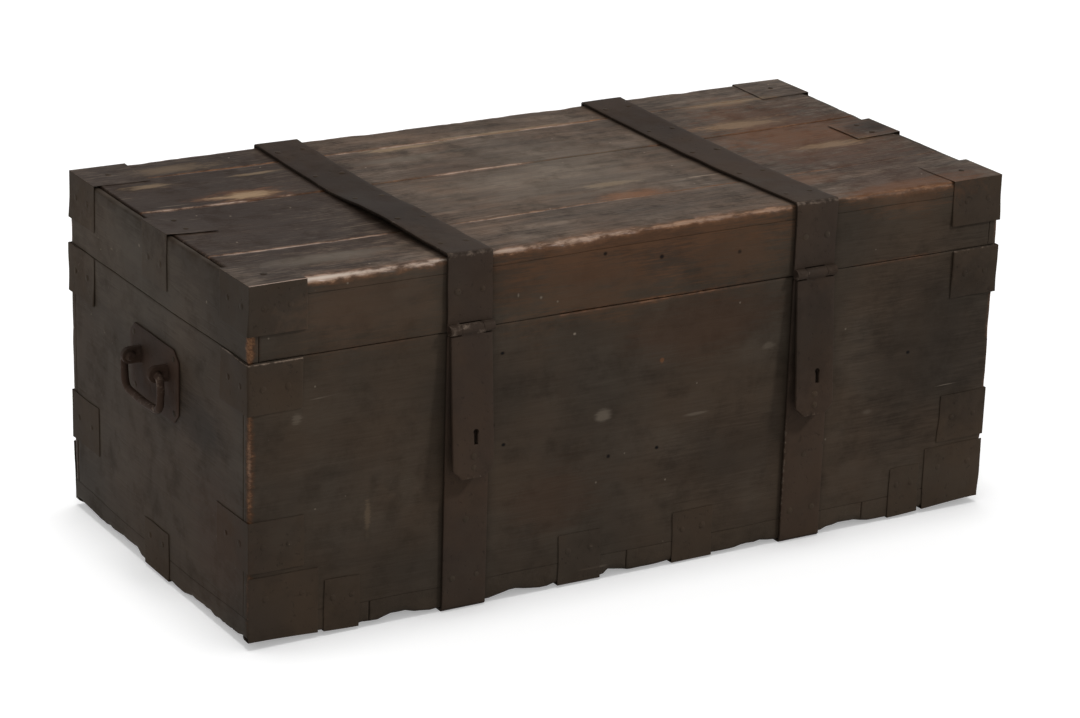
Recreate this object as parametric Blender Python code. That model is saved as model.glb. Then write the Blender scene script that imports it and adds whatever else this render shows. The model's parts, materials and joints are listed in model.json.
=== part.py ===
"""Iron-bound plank trunk with a hinged lid, two locking hasps and a drop handle on each end.

Metres, +Z up. The front faces -Y and the left end faces -X. The trunk stands at z = 0 on the ends of
its straps, and the origin is the middle of that footprint. The hasps hang a little open, as they do
when the locks don't hold them.
"""

import math

import bmesh
import bpy
from mathutils import Vector

# Clearances
GAP = 0.0003  # between pieces that lie on each other
LID_SEAM = 0.0006  # between the lid's rim and the box's rim
KNUCKLE_PLAY = 0.0004  # beside a hinge knuckle
KNUCKLE_ROOM = 0.0008  # round a hinge barrel
PIN_PLAY = 0.0003  # round a hinge pin
EYE_PLAY = 0.00035  # round a handle's end in its eye

# Wood
WOOD_LENGTH = 1.144
WOOD_DEPTH = 0.548
WALL = 0.026  # thickness of the walls of box and lid
REBATE = 0.012  # how deep one wall lies in the next at a corner
WALL_HEIGHT = 0.348
BOTTOM_THICKNESS = 0.030
BOTTOM_JOINTS = (-0.400, -0.014, 0.371)  # x of the joints between the bottom planks
LID_WALL_HEIGHT = 0.079
PLANK_THICKNESS = 0.020
PLANK_WIDTHS = (0.070, 0.139, 0.205)  # lid planks from the rear; the front one takes the rest
PLANK_JOINT = 0.0008
LID_LIP = 0.008  # thickness of the end wall's lip beside the planks
LIP_DROP = 0.003  # how far the lip lies below the planks' top
LIP_JOINT = 0.0015
WORN_EDGE = 0.008  # radius of the lid's worn front edge

# Flat iron
STRAP_WIDTH = 0.064
STRAP_THICKNESS = 0.004
STRAP_BEND = 0.006
STRAP_OFFSET = 0.264  # x of the straps, either side of the middle
STRAP_LAP = 0.070  # under the bottom
IRON = 0.003  # thickness of clips, caps and angles
CAP_FRONT, CAP_END, CAP_DROP = 0.080, 0.082, 0.064
LID_CLIP_WIDTH, LID_CLIP_DROP, LID_CLIP_LAP = 0.078, 0.076, 0.072
UPPER_ANGLE_FRONT, UPPER_ANGLE_END, UPPER_ANGLE_HEIGHT = 0.074, 0.080, 0.068
MIDDLE_ANGLE_FRONT, MIDDLE_ANGLE_END, MIDDLE_ANGLE_HEIGHT = 0.078, 0.090, 0.069
MIDDLE_ANGLE_BASE = 0.102  # height of its lower edge above the floor
CORNER_CLIP_WIDTH, CORNER_CLIP_TOP, CORNER_CLIP_LAP = 0.098, 0.095, 0.060
OUTER_BAND_WIDTH, INNER_BAND_WIDTH = 0.051, 0.065
CLIP_TO_BAND = 0.0085  # between a corner clip and the band beside it
INNER_BAND_OFFSET = 0.089  # x of the inner bands, either side of the middle
BAND_TOP = 0.075  # height of the bands' upturned ends
END_CLIP_WIDTH, END_CLIP_TOP, END_CLIP_LAP = 0.076, 0.070, 0.066

# Hinges and hasps
BARREL_RADIUS = 0.007
PIN_RADIUS = 0.0032
OUTER_KNUCKLE = 0.016  # length of each of a strap's two knuckles; the third fills the middle
HASP_AXIS_RISE = 0.004  # above the seam
HASP_WIDTH = 0.060
HASP_LENGTH = 0.199  # below its pin
HASP_THICKNESS = 0.0045
HASP_CORNER = 0.013
HASP_SEAT = 0.0005  # hasp to strap when it is shut
HASP_REST_ANGLE = math.radians(4.2)

# Locks
KEYHOLE_DROP = 0.144  # below the hasp's pin
KEYHOLE_ASIDE = 0.004  # to the right of the strap's middle
KEYHOLE_HEIGHT = 0.021
KEYHOLE_RADIUS = 0.004
KEYHOLE_SLOT = 0.0052
STAPLE_DROP = 0.177
STAPLE_HEIGHT = 0.020
STAPLE_WIDTH = 0.005
STAPLE_BAR = 0.0032
STAPLE_CLEARANCE = 0.001  # staple to strap while the hasp hangs open
STAPLE_SINK = 0.002  # of the staple's legs in the hasp
SLOT_PLAY = 0.002
LOCK_WIDTH = 0.058
LOCK_ABOVE = 0.020  # case above the keyhole's middle
LOCK_BELOW = 0.018  # case below the staple's middle
LOCK_DEPTH = 0.018
LOCK_WALL = 0.002
KEY_POST_RADIUS = 0.0016
BOLT_LENGTH = 0.021
BOLT_PLAY = 0.0008
BOLT_TO_STAPLE = 0.0015
BOLT_ARM = 0.010
RAIL_LIP = 0.004

# Handles
HANDLE_HEIGHT = 0.298  # pivots above the floor
HANDLE_SPAN = 0.082  # between the eyes' middles
HANDLE_REACH = 0.016  # pivots from the plate
PLATE_WIDTH, PLATE_HEIGHT, PLATE_CORNER = 0.150, 0.100, 0.014
PLATE_DROP = 0.013  # plate's middle below the pivots
EYE_WIDTH = 0.009
EYE_RADIUS = 0.011
BAIL_RADIUS = 0.005
BAIL_INSIDE = 0.006  # bail's ends past the eyes
BAIL_SHOULDER = 0.009  # bend radius at the eyes
BAIL_CORNER = 0.016  # bend radius at the grip
BAIL_OUTSIDE = 0.0015  # straight end between an eye and the bend
BAIL_DROP = 0.048

# Facets
ROUND_SIDES = 16
BEND_STEPS = 4
BAIL_STEPS = 5
BAIL_BEVEL = 3
SHARP_ANGLE = math.radians(35)

# Levels and faces that follow from the sizes
HALF_LENGTH = WOOD_LENGTH / 2
HALF_DEPTH = WOOD_DEPTH / 2
WOOD_BASE = STRAP_THICKNESS + GAP
BOTTOM_TOP = WOOD_BASE + BOTTOM_THICKNESS
WALL_BASE = BOTTOM_TOP + GAP
BOX_RIM = WALL_BASE + WALL_HEIGHT
LID_RIM = BOX_RIM + LID_SEAM
LID_WALL_TOP = LID_RIM + LID_WALL_HEIGHT
PLANK_BASE = LID_WALL_TOP + GAP
LID_TOP = PLANK_BASE + PLANK_THICKNESS
SEAM_LEVEL = (BOX_RIM + LID_RIM) / 2
AXIS_FROM_WOOD = GAP + BARREL_RADIUS
LID_AXIS = Vector((0, HALF_DEPTH + AXIS_FROM_WOOD, SEAM_LEVEL))
HASP_AXIS = Vector((0, -HALF_DEPTH - AXIS_FROM_WOOD, SEAM_LEVEL + HASP_AXIS_RISE))
MIDDLE_NOTCH = STRAP_WIDTH - 2 * OUTER_KNUCKLE
MIDDLE_KNUCKLE = MIDDLE_NOTCH - 2 * KNUCKLE_PLAY
STRAP_FACE = BARREL_RADIUS - STRAP_THICKNESS  # strap's outer face behind a hinge axis
HASP_BACK = STRAP_FACE - HASP_SEAT  # shut hasp's back face behind its axis
STAPLE_REACH = (
    (STRAP_FACE - STAPLE_CLEARANCE + (STAPLE_DROP - STAPLE_HEIGHT / 2) * math.sin(HASP_REST_ANGLE))
    / math.cos(HASP_REST_ANGLE)
    - HASP_BACK
)
BOLT_THICKNESS = HASP_BACK + STAPLE_REACH - STAPLE_BAR - BOLT_PLAY - BARREL_RADIUS - GAP
BOLT_HALF_HEIGHT = STAPLE_HEIGHT / 2 - STAPLE_BAR - BOLT_PLAY
KEYHOLE_LEVEL = HASP_AXIS.z - KEYHOLE_DROP
STAPLE_LEVEL = HASP_AXIS.z - STAPLE_DROP

SIDES = {"left": -1, "right": 1}
FACES = {"front": -1, "back": 1}

# Finishes: base colour, roughness, metallic
PAINTED_WOOD = ((0.036, 0.027, 0.021), 0.62, 0.0)
WORN_WOOD = ((0.085, 0.062, 0.046), 0.50, 0.0)
BLACK_IRON = ((0.040, 0.033, 0.028), 0.55, 0.7)
RUSTY_IRON = ((0.050, 0.030, 0.020), 0.70, 0.5)


def clear_scene():
    """Remove every object of the scene."""
    for obj in list(bpy.data.objects):
        bpy.data.objects.remove(obj, do_unlink=True)


def arc(centre, radius, start, end, steps):
    """Points of an arc from one angle to another, in degrees, both ends included."""
    angles = [math.radians(start + (end - start) * i / steps) for i in range(steps + 1)]
    return [(centre[0] + radius * math.cos(a), centre[1] + radius * math.sin(a)) for a in angles]


def circle(centre, radius):
    """Corners of a regular polygon round a circle's centre."""
    return arc(centre, radius, 0, 360, ROUND_SIDES)[:-1]


def hole_radius(radius):
    """Corner radius of a polygon whose flats clear a circle of this radius."""
    return radius / math.cos(math.pi / ROUND_SIDES)


def finish(obj, look):
    """Give the object its own material."""
    colour, roughness, metallic = look
    material = bpy.data.materials.new(obj.name)
    material.use_nodes = True
    material.diffuse_color = (*colour, 1)
    shader = material.node_tree.nodes["Principled BSDF"]
    shader.inputs["Base Color"].default_value = (*colour, 1)
    shader.inputs["Roughness"].default_value = roughness
    shader.inputs["Metallic"].default_value = metallic
    obj.data.materials.append(material)


def add_object(name, data, parent=None):
    """Link a new object to the scene, under a parent if it has one."""
    obj = bpy.data.objects.new(name, data)
    bpy.context.scene.collection.objects.link(obj)
    obj.parent = parent
    return obj


def axis_empty(name, place, parent=None):
    """An empty on a joint's axis, for the pieces that turn with it."""
    empty = add_object(name, None, parent)
    empty.empty_display_size = 0.03
    empty.location = place - parent.location if parent else place
    return empty


def prism(name, outline, axis, low, high, parent=None):
    """A solid of constant section: the outline swept along X, Y or Z from low to high.

    The outline lies in the other two axes, in X, Y, Z order, in the parent's frame.
    """
    place = {
        "X": lambda a, b, h: Vector((h, a, b)),
        "Y": lambda a, b, h: Vector((a, h, b)),
        "Z": lambda a, b, h: Vector((a, b, h)),
    }[axis]
    mesh_data = bmesh.new()
    lower = [mesh_data.verts.new(place(a, b, low)) for a, b in outline]
    upper = [mesh_data.verts.new(place(a, b, high)) for a, b in outline]
    mesh_data.faces.new(lower)
    mesh_data.faces.new(upper)
    for i in range(len(outline)):
        mesh_data.faces.new((lower[i - 1], lower[i], upper[i], upper[i - 1]))
    bmesh.ops.recalc_face_normals(mesh_data, faces=mesh_data.faces)
    mesh = bpy.data.meshes.new(name)
    mesh_data.to_mesh(mesh)
    mesh_data.free()
    mesh.shade_smooth()
    mesh.set_sharp_from_angle(angle=SHARP_ANGLE)
    return add_object(name, mesh, parent)


def rectangle(low_a, low_b, high_a, high_b):
    """Corners of a rectangle."""
    return [(low_a, low_b), (high_a, low_b), (high_a, high_b), (low_a, high_b)]


def block(name, low, high, parent=None):
    """A rectangular solid between two corners."""
    return prism(name, rectangle(low[0], low[1], high[0], high[1]), "Z", low[2], high[2], parent)


def combine(obj, tool, operation):
    """Join a helper solid to the object, or cut it out of it."""
    tool.hide_render = True
    tool.display_type = "WIRE"
    modifier = obj.modifiers.new(tool.name, "BOOLEAN")
    modifier.operation = operation
    modifier.object = tool


def cut(obj, tool):
    """Cut a helper solid out of the object."""
    combine(obj, tool, "DIFFERENCE")


def join(obj, tool):
    """Fuse a helper solid to the object."""
    combine(obj, tool, "UNION")


def in_lid(lid, points, axes):
    """Outline points moved from world places into the frame of the lid's axis."""
    shift = [lid.location["XYZ".index(axis)] for axis in axes]
    return [(a - shift[0], b - shift[1]) for a, b in points]


def mirrored(points, flip):
    """Points with the first coordinate turned over where flip is -1."""
    return [(flip * a, b) for a, b in points]


def angle_iron(leg_a, leg_b, thickness, face_a, face_b):
    """Outline of an L iron whose inner faces lie a gap outside two wood faces."""
    inner_a, inner_b = face_a + GAP, face_b + GAP
    outer_a, outer_b = inner_a + thickness, inner_b + thickness
    return [
        (outer_a, outer_b),
        (outer_a, face_b - leg_b),
        (inner_a, face_b - leg_b),
        (inner_a, inner_b),
        (face_a - leg_a, inner_b),
        (face_a - leg_a, outer_b),
    ]


def lap_iron(face, top, lap):
    """Outline of a clip on an upright wood face that turns in under the bottom: out, up."""
    inner, outer = face + GAP, face + GAP + IRON
    under = WOOD_BASE - GAP - IRON
    return [
        (inner, top),
        (outer, top),
        (outer, under),
        (face - lap, under),
        (face - lap, under + IRON),
        (inner, under + IRON),
    ]


def build_box_walls(box):
    """Front and back boards with rebated ends, and the end boards between them."""
    shoulder = HALF_LENGTH - WALL - GAP
    tongue = HALF_DEPTH - WALL + REBATE
    boards = {}
    for face, sign in FACES.items():
        outline = [
            (-HALF_LENGTH, sign * HALF_DEPTH),
            (HALF_LENGTH, sign * HALF_DEPTH),
            (HALF_LENGTH, sign * tongue),
            (shoulder, sign * tongue),
            (shoulder, sign * (HALF_DEPTH - WALL)),
            (-shoulder, sign * (HALF_DEPTH - WALL)),
            (-shoulder, sign * tongue),
            (-HALF_LENGTH, sign * tongue),
        ]
        boards[face] = prism(f"{face}_board", outline, "Z", WALL_BASE, BOX_RIM, box)
        finish(boards[face], PAINTED_WOOD)
    reach = tongue - GAP
    for side, sign in SIDES.items():
        outline = rectangle(sign * (HALF_LENGTH - WALL), -reach, sign * HALF_LENGTH, reach)
        finish(prism(f"{side}_end_board", outline, "Z", WALL_BASE, BOX_RIM, box), PAINTED_WOOD)
    return boards


def build_bottom(box):
    """Planks from front to back under the walls."""
    starts = [-HALF_LENGTH, *(x + PLANK_JOINT / 2 for x in BOTTOM_JOINTS)]
    ends = [*(x - PLANK_JOINT / 2 for x in BOTTOM_JOINTS), HALF_LENGTH]
    for number, (start, end) in enumerate(zip(starts, ends), 1):
        low = (start, -HALF_DEPTH, WOOD_BASE)
        high = (end, HALF_DEPTH, BOTTOM_TOP)
        finish(block(f"bottom_plank_{number}", low, high, box), PAINTED_WOOD)


def build_lid_wood(lid):
    """The lid's end walls with their lips, the rails between them, and the planks on top."""
    tongue = HALF_LENGTH - WALL + REBATE
    shoulder = HALF_DEPTH - WALL - GAP
    lip_top = LID_TOP - LIP_DROP
    for side, sign in SIDES.items():
        section = [
            (HALF_LENGTH, LID_RIM),
            (HALF_LENGTH, lip_top),
            (HALF_LENGTH - LID_LIP, lip_top),
            (HALF_LENGTH - LID_LIP, LID_WALL_TOP),
            (HALF_LENGTH - WALL, LID_WALL_TOP),
            (HALF_LENGTH - WALL, LID_RIM),
        ]
        points = in_lid(lid, mirrored(section, sign), "XZ")
        low, high = -HALF_DEPTH - lid.location.y, HALF_DEPTH - lid.location.y
        end = prism(f"lid_{side}_end", points, "Y", low, high, lid)
        finish(end, PAINTED_WOOD)
        for face, face_sign in FACES.items():
            seat = rectangle(
                sign * (HALF_LENGTH - 2 * WALL),
                face_sign * shoulder,
                sign * (tongue + GAP),
                face_sign * (HALF_DEPTH + WALL),
            )
            seat = in_lid(lid, seat, "XY")
            base, top = LID_RIM - WALL - lid.location.z, PLANK_BASE - lid.location.z
            cut(end, prism(f"lid_{side}_{face}_rebate", seat, "Z", base, top, lid))
    for face, sign in FACES.items():
        outline = rectangle(-tongue, sign * (HALF_DEPTH - WALL), tongue, sign * HALF_DEPTH)
        base, top = LID_RIM - lid.location.z, LID_WALL_TOP - lid.location.z
        rail = prism(f"lid_{face}_rail", in_lid(lid, outline, "XY"), "Z", base, top, lid)
        finish(rail, PAINTED_WOOD)
    build_lid_planks(lid)


def build_lid_planks(lid):
    """Lengthwise planks, rear to front, the front one with a worn round edge."""
    reach = HALF_LENGTH - LID_LIP - LIP_JOINT
    rear = HALF_DEPTH
    for number in range(1, len(PLANK_WIDTHS) + 2):
        if number <= len(PLANK_WIDTHS):
            front = rear - PLANK_WIDTHS[number - 1]
            section = rectangle(front + PLANK_JOINT, PLANK_BASE, rear, LID_TOP)
        else:
            front = -HALF_DEPTH
            centre = (front + WORN_EDGE, LID_TOP - WORN_EDGE)
            worn = arc(centre, WORN_EDGE, 180, 90, BEND_STEPS)
            section = [(front, PLANK_BASE), *worn, (rear, LID_TOP), (rear, PLANK_BASE)]
        plank = prism(f"lid_plank_{number}", in_lid(lid, section, "YZ"), "X", -reach, reach, lid)
        finish(plank, WORN_WOOD)
        rear = front


def build_lid_irons(lid):
    """Three-way corner caps and the clips over the ends' top edges."""
    origin = lid.location
    wood = Vector((HALF_LENGTH, HALF_DEPTH, LID_TOP))
    inner = wood + Vector((GAP, GAP, GAP))
    outer = inner + Vector((IRON, IRON, IRON))
    far = wood - Vector((CAP_FRONT, CAP_END, CAP_DROP))
    beyond = far - Vector((IRON, IRON, IRON))
    for side, sign in SIDES.items():
        for face, face_sign in FACES.items():
            turn = Vector((sign, face_sign, 1))
            cap = block(f"lid_corner_cap_{face}_{side}", far * turn - origin, outer * turn - origin, lid)
            cut(cap, block(f"cap_hollow_{face}_{side}", beyond * turn - origin, inner * turn - origin, lid))
            finish(cap, BLACK_IRON)
        outline = angle_iron(LID_CLIP_LAP, LID_CLIP_DROP, IRON, HALF_LENGTH, LID_TOP)
        outline = in_lid(lid, mirrored(outline, sign), "XZ")
        low = -LID_CLIP_WIDTH / 2 - origin.y
        clip = prism(f"lid_end_clip_{side}", outline, "Y", low, low + LID_CLIP_WIDTH, lid)
        finish(clip, BLACK_IRON)


def build_box_irons(box):
    """Corner angles on the walls, and the clips and bands that lap under the bottom."""
    upper = (UPPER_ANGLE_FRONT, UPPER_ANGLE_END, BOX_RIM - UPPER_ANGLE_HEIGHT, BOX_RIM)
    middle_top = MIDDLE_ANGLE_BASE + MIDDLE_ANGLE_HEIGHT
    middle = (MIDDLE_ANGLE_FRONT, MIDDLE_ANGLE_END, MIDDLE_ANGLE_BASE, middle_top)
    for side, sign in SIDES.items():
        for face, face_sign in FACES.items():
            for level, (front, end, base, top) in {"upper": upper, "middle": middle}.items():
                outline = angle_iron(front, end, IRON, HALF_LENGTH, HALF_DEPTH)
                outline = [(sign * x, face_sign * y) for x, y in outline]
                name = f"{level}_corner_angle_{face}_{side}"
                finish(prism(name, outline, "Z", base, top, box), BLACK_IRON)
            outline = mirrored(lap_iron(HALF_DEPTH, CORNER_CLIP_TOP, CORNER_CLIP_LAP), face_sign)
            start, end = sign * (HALF_LENGTH - CORNER_CLIP_WIDTH), sign * HALF_LENGTH
            clip = prism(f"bottom_corner_clip_{face}_{side}", outline, "X", start, end, box)
            finish(clip, BLACK_IRON)
        outline = mirrored(lap_iron(HALF_LENGTH, END_CLIP_TOP, END_CLIP_LAP), sign)
        half = END_CLIP_WIDTH / 2
        finish(prism(f"bottom_end_clip_{side}", outline, "Y", -half, half, box), BLACK_IRON)
    half_band = lap_iron(HALF_DEPTH, BAND_TOP, HALF_DEPTH)
    upturn, under = half_band[:3], half_band[-1]
    outline = [*upturn, *reversed(mirrored(upturn, -1)), (-under[0], under[1]), under]
    outer_offset = HALF_LENGTH - CORNER_CLIP_WIDTH - CLIP_TO_BAND - OUTER_BAND_WIDTH / 2
    right_half = [(INNER_BAND_OFFSET, INNER_BAND_WIDTH), (outer_offset, OUTER_BAND_WIDTH)]
    bands = [*reversed(mirrored(right_half, -1)), *right_half]
    for number, (offset, width) in enumerate(bands, 1):
        start, end = offset - width / 2, offset + width / 2
        finish(prism(f"bottom_band_{number}", outline, "X", start, end, box), BLACK_IRON)


def barrel(axis, out, up):
    """Outline points round a rolled hinge barrel, from the strap's inner face to its outer face.

    The strap lies against the wood and leaves the barrel upwards (up = 1) or downwards (up = -1);
    out is the sign of the y direction that points away from the wood.
    """
    meet = math.degrees(math.acos(STRAP_FACE / BARREL_RADIUS))
    points = arc((0, 0), BARREL_RADIUS, 0, meet - 360, ROUND_SIDES)
    return [(axis.y - out * y, axis.z + up * z) for y, z in points]


def pin_hole(name, axis, parent):
    """A cutter along X for a hinge pin."""
    outline = circle((axis.y, axis.z), hole_radius(PIN_RADIUS + PIN_PLAY))
    return prism(name, outline, "X", axis.x - STRAP_WIDTH, axis.x + STRAP_WIDTH, parent)


def hinge_pin(name, axis, parent):
    """A hinge pin as long as the strap is wide."""
    outline = circle((0, 0), PIN_RADIUS)
    pin = prism(name, outline, "X", -STRAP_WIDTH / 2, STRAP_WIDTH / 2, parent)
    pin.location = axis
    finish(pin, RUSTY_IRON)


def build_lid_straps(lid):
    """Straps from the lid hinge over the top and down to the hasp hinge."""
    origin = lid.location
    hasp_axis = HASP_AXIS - origin
    lid_axis = LID_AXIS - origin
    inner, outer = HALF_DEPTH + GAP, HALF_DEPTH + GAP + STRAP_THICKNESS
    top = LID_TOP + GAP
    bend = outer - STRAP_BEND, top + STRAP_THICKNESS - STRAP_BEND
    over = arc((-bend[0], bend[1]), STRAP_BEND, 180, 90, BEND_STEPS)
    over += arc(bend, STRAP_BEND, 90, 0, BEND_STEPS)
    outline = [
        *barrel(hasp_axis, -1, 1),
        *in_lid(lid, over, "YZ"),
        *reversed(barrel(lid_axis, 1, 1)),
        *in_lid(lid, [(inner, top), (-inner, top)], "YZ"),
    ]
    room = BARREL_RADIUS + KNUCKLE_ROOM
    for side, sign in SIDES.items():
        x = sign * STRAP_OFFSET
        start, end = x - STRAP_WIDTH / 2, x + STRAP_WIDTH / 2
        strap = prism(f"lid_strap_{side}", outline, "X", start, end, lid)
        for joint, axis in {"hasp": hasp_axis, "lid": lid_axis}.items():
            notch = rectangle(axis.y - room, axis.z - room, axis.y + room, axis.z + room)
            half = MIDDLE_NOTCH / 2
            cut(strap, prism(f"{joint}_notch_{side}", notch, "X", x - half, x + half, lid))
            cut(strap, pin_hole(f"{joint}_strap_hole_{side}", axis + Vector((x, 0, 0)), lid))
        finish(strap, BLACK_IRON)


def build_back_straps(box):
    """Straps from the lid hinge down the back and in under the bottom."""
    inner, outer = HALF_DEPTH + GAP, HALF_DEPTH + GAP + STRAP_THICKNESS
    outline = [
        *barrel(LID_AXIS, 1, -1),
        *arc((outer - STRAP_BEND, STRAP_BEND), STRAP_BEND, 0, -90, BEND_STEPS),
        (HALF_DEPTH - STRAP_LAP, 0),
        (HALF_DEPTH - STRAP_LAP, STRAP_THICKNESS),
        (inner, STRAP_THICKNESS),
    ]
    room = BARREL_RADIUS + KNUCKLE_ROOM
    notch = rectangle(LID_AXIS.y - room, LID_AXIS.z - room, LID_AXIS.y + room, LID_AXIS.z + room)
    for side, sign in SIDES.items():
        x = sign * STRAP_OFFSET
        strap = prism(f"back_strap_{side}", outline, "X", x - STRAP_WIDTH / 2, x + STRAP_WIDTH / 2, box)
        for edge, edge_sign in SIDES.items():
            start, end = x + edge_sign * MIDDLE_KNUCKLE / 2, x + edge_sign * STRAP_WIDTH
            cut(strap, prism(f"back_notch_{side}_{edge}", notch, "X", start, end, box))
        axis = LID_AXIS + Vector((x, 0, 0))
        cut(strap, pin_hole(f"back_strap_hole_{side}", axis, box))
        finish(strap, BLACK_IRON)
        hinge_pin(f"hinge_pin_{side}", axis, box)


def keyhole(x, z):
    """Outline of a keyhole round its middle: a round head over a straight slot."""
    head = z + KEYHOLE_HEIGHT / 2 - KEYHOLE_RADIUS
    meet = math.degrees(math.asin(KEYHOLE_SLOT / 2 / KEYHOLE_RADIUS))
    points = arc((x, head), KEYHOLE_RADIUS, meet - 90, 270 - meet, ROUND_SIDES - BEND_STEPS)
    foot = z - KEYHOLE_HEIGHT / 2
    return [*points, (x - KEYHOLE_SLOT / 2, foot), (x + KEYHOLE_SLOT / 2, foot)]


def build_front_straps(box, front_board):
    """Straps behind the hasps with keyhole and staple slot, and the mortises for the locks."""
    inner, outer = HALF_DEPTH + GAP, HALF_DEPTH + GAP + STRAP_THICKNESS
    top = HASP_AXIS.z - BARREL_RADIUS - KNUCKLE_ROOM
    outline = [
        (inner, top),
        (outer, top),
        *arc((outer - STRAP_BEND, STRAP_BEND), STRAP_BEND, 0, -90, BEND_STEPS),
        (HALF_DEPTH - STRAP_LAP, 0),
        (HALF_DEPTH - STRAP_LAP, STRAP_THICKNESS),
        (inner, STRAP_THICKNESS),
    ]
    through = (-outer - STRAP_THICKNESS, -HALF_DEPTH + GAP)
    for side, sign in SIDES.items():
        x = sign * STRAP_OFFSET
        start, end = x - STRAP_WIDTH / 2, x + STRAP_WIDTH / 2
        strap = prism(f"front_strap_{side}", mirrored(outline, -1), "X", start, end, box)
        hole = keyhole(x + KEYHOLE_ASIDE, KEYHOLE_LEVEL)
        cut(strap, prism(f"front_keyhole_{side}", hole, "Y", *through, box))
        half_width = STAPLE_WIDTH / 2 + SLOT_PLAY
        half_height = STAPLE_HEIGHT / 2 + SLOT_PLAY
        slot_low, slot_high = STAPLE_LEVEL - half_height, STAPLE_LEVEL + half_height
        slot = rectangle(x - half_width, slot_low, x + half_width, slot_high)
        cut(strap, prism(f"staple_slot_{side}", slot, "Y", *through, box))
        finish(strap, BLACK_IRON)
        build_lock(side, x, box, front_board)


def build_lock(side, x, box, front_board):
    """A lock let into the front board: its open-fronted case and the bolt that slides in it."""
    face = -HALF_DEPTH
    base, top = STAPLE_LEVEL - LOCK_BELOW, KEYHOLE_LEVEL + LOCK_ABOVE
    half = LOCK_WIDTH / 2
    mortise_low = (x - half - GAP, face - WALL, base - GAP)
    mortise_high = (x + half + GAP, face + LOCK_DEPTH + GAP, top + GAP)
    cut(front_board, block(f"lock_mortise_{side}", mortise_low, mortise_high, box))
    case = block(f"lock_case_{side}", (x - half, face, base), (x + half, face + LOCK_DEPTH, top), box)
    room = half - LOCK_WALL
    hollow_low = (x - room, face - WALL, base + LOCK_WALL)
    hollow_high = (x + room, face + LOCK_DEPTH - LOCK_WALL, top - LOCK_WALL)
    cut(case, block(f"lock_hollow_{side}", hollow_low, hollow_high, box))
    rail = [
        (face + GAP, STAPLE_LEVEL - BOLT_HALF_HEIGHT - GAP - RAIL_LIP),
        (face + GAP, STAPLE_LEVEL - BOLT_HALF_HEIGHT - GAP),
        (face + BOLT_THICKNESS + GAP, STAPLE_LEVEL - BOLT_HALF_HEIGHT - GAP),
        (face + BOLT_THICKNESS + GAP, STAPLE_LEVEL + BOLT_HALF_HEIGHT),
        (face + LOCK_DEPTH - LOCK_WALL / 2, STAPLE_LEVEL + BOLT_HALF_HEIGHT),
        (face + LOCK_DEPTH - LOCK_WALL / 2, STAPLE_LEVEL - BOLT_HALF_HEIGHT - GAP - RAIL_LIP),
    ]
    for edge, sign in SIDES.items():
        start, end = x + sign * (STAPLE_WIDTH / 2 + SLOT_PLAY), x + sign * (half - LOCK_WALL / 2)
        join(case, prism(f"bolt_rail_{side}_{edge}", rail, "X", start, end, box))
    post = circle((x + KEYHOLE_ASIDE, KEYHOLE_LEVEL), KEY_POST_RADIUS)
    post_end = face + LOCK_DEPTH - LOCK_WALL / 2
    join(case, prism(f"key_post_{side}", post, "Y", face + STRAP_THICKNESS, post_end, box))
    finish(case, RUSTY_IRON)
    tip = -STAPLE_WIDTH / 2 - BOLT_TO_STAPLE
    tail = tip - BOLT_LENGTH
    arm_top = STAPLE_DROP - KEYHOLE_DROP - KEYHOLE_HEIGHT / 2
    outline = [
        (tail, -BOLT_HALF_HEIGHT),
        (tip, -BOLT_HALF_HEIGHT),
        (tip, BOLT_HALF_HEIGHT),
        (tail + BOLT_ARM, BOLT_HALF_HEIGHT),
        (tail + BOLT_ARM, arm_top),
        (tail, arm_top),
    ]
    bolt = prism(f"lock_bolt_{side}", outline, "Y", 0, BOLT_THICKNESS, box)
    bolt.location = (x, face, STAPLE_LEVEL)
    finish(bolt, RUSTY_IRON)


def build_hasps(lid):
    """Hasps on their pins, each with its knuckle, keyhole and staple, hanging a little open."""
    room = BARREL_RADIUS + KNUCKLE_ROOM
    half, neck = HASP_WIDTH / 2, MIDDLE_KNUCKLE / 2 - KNUCKLE_PLAY
    foot = -HASP_LENGTH
    right_side = [
        (neck, 0),
        (neck, -room),
        (half, -room),
        (half, foot + HASP_CORNER),
        (half - HASP_CORNER, foot),
    ]
    plate = [*right_side, *reversed(mirrored(right_side, -1))]
    leg, tip = HASP_BACK - STAPLE_SINK, HASP_BACK + STAPLE_REACH
    high, low = STAPLE_HEIGHT / 2 - STAPLE_DROP, -STAPLE_HEIGHT / 2 - STAPLE_DROP
    staple = [
        (leg, low),
        (tip, low),
        (tip, high),
        (leg, high),
        (leg, high - STAPLE_BAR),
        (tip - STAPLE_BAR, high - STAPLE_BAR),
        (tip - STAPLE_BAR, low + STAPLE_BAR),
        (leg, low + STAPLE_BAR),
    ]
    for side, sign in SIDES.items():
        axis = HASP_AXIS + Vector((sign * STRAP_OFFSET, 0, 0))
        hinge_pin(f"hasp_pin_{side}", axis - lid.location, lid)
        turning = axis_empty(f"hasp_axis_{side}", axis, lid)
        turning.rotation_euler.x = -HASP_REST_ANGLE
        hasp = prism(f"hasp_{side}", plate, "Y", HASP_BACK - HASP_THICKNESS, HASP_BACK, turning)
        knuckle = circle((0, 0), BARREL_RADIUS)
        width = MIDDLE_KNUCKLE / 2
        join(hasp, prism(f"hasp_knuckle_{side}", knuckle, "X", -width, width, turning))
        join(hasp, prism(f"hasp_staple_{side}", staple, "X", -STAPLE_WIDTH / 2, STAPLE_WIDTH / 2, turning))
        cut(hasp, pin_hole(f"hasp_hole_{side}", Vector(), turning))
        hole = keyhole(KEYHOLE_ASIDE, -KEYHOLE_DROP)
        cut(hasp, prism(f"hasp_keyhole_{side}", hole, "Y", -BARREL_RADIUS, BARREL_RADIUS, turning))
        finish(hasp, BLACK_IRON)


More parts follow.
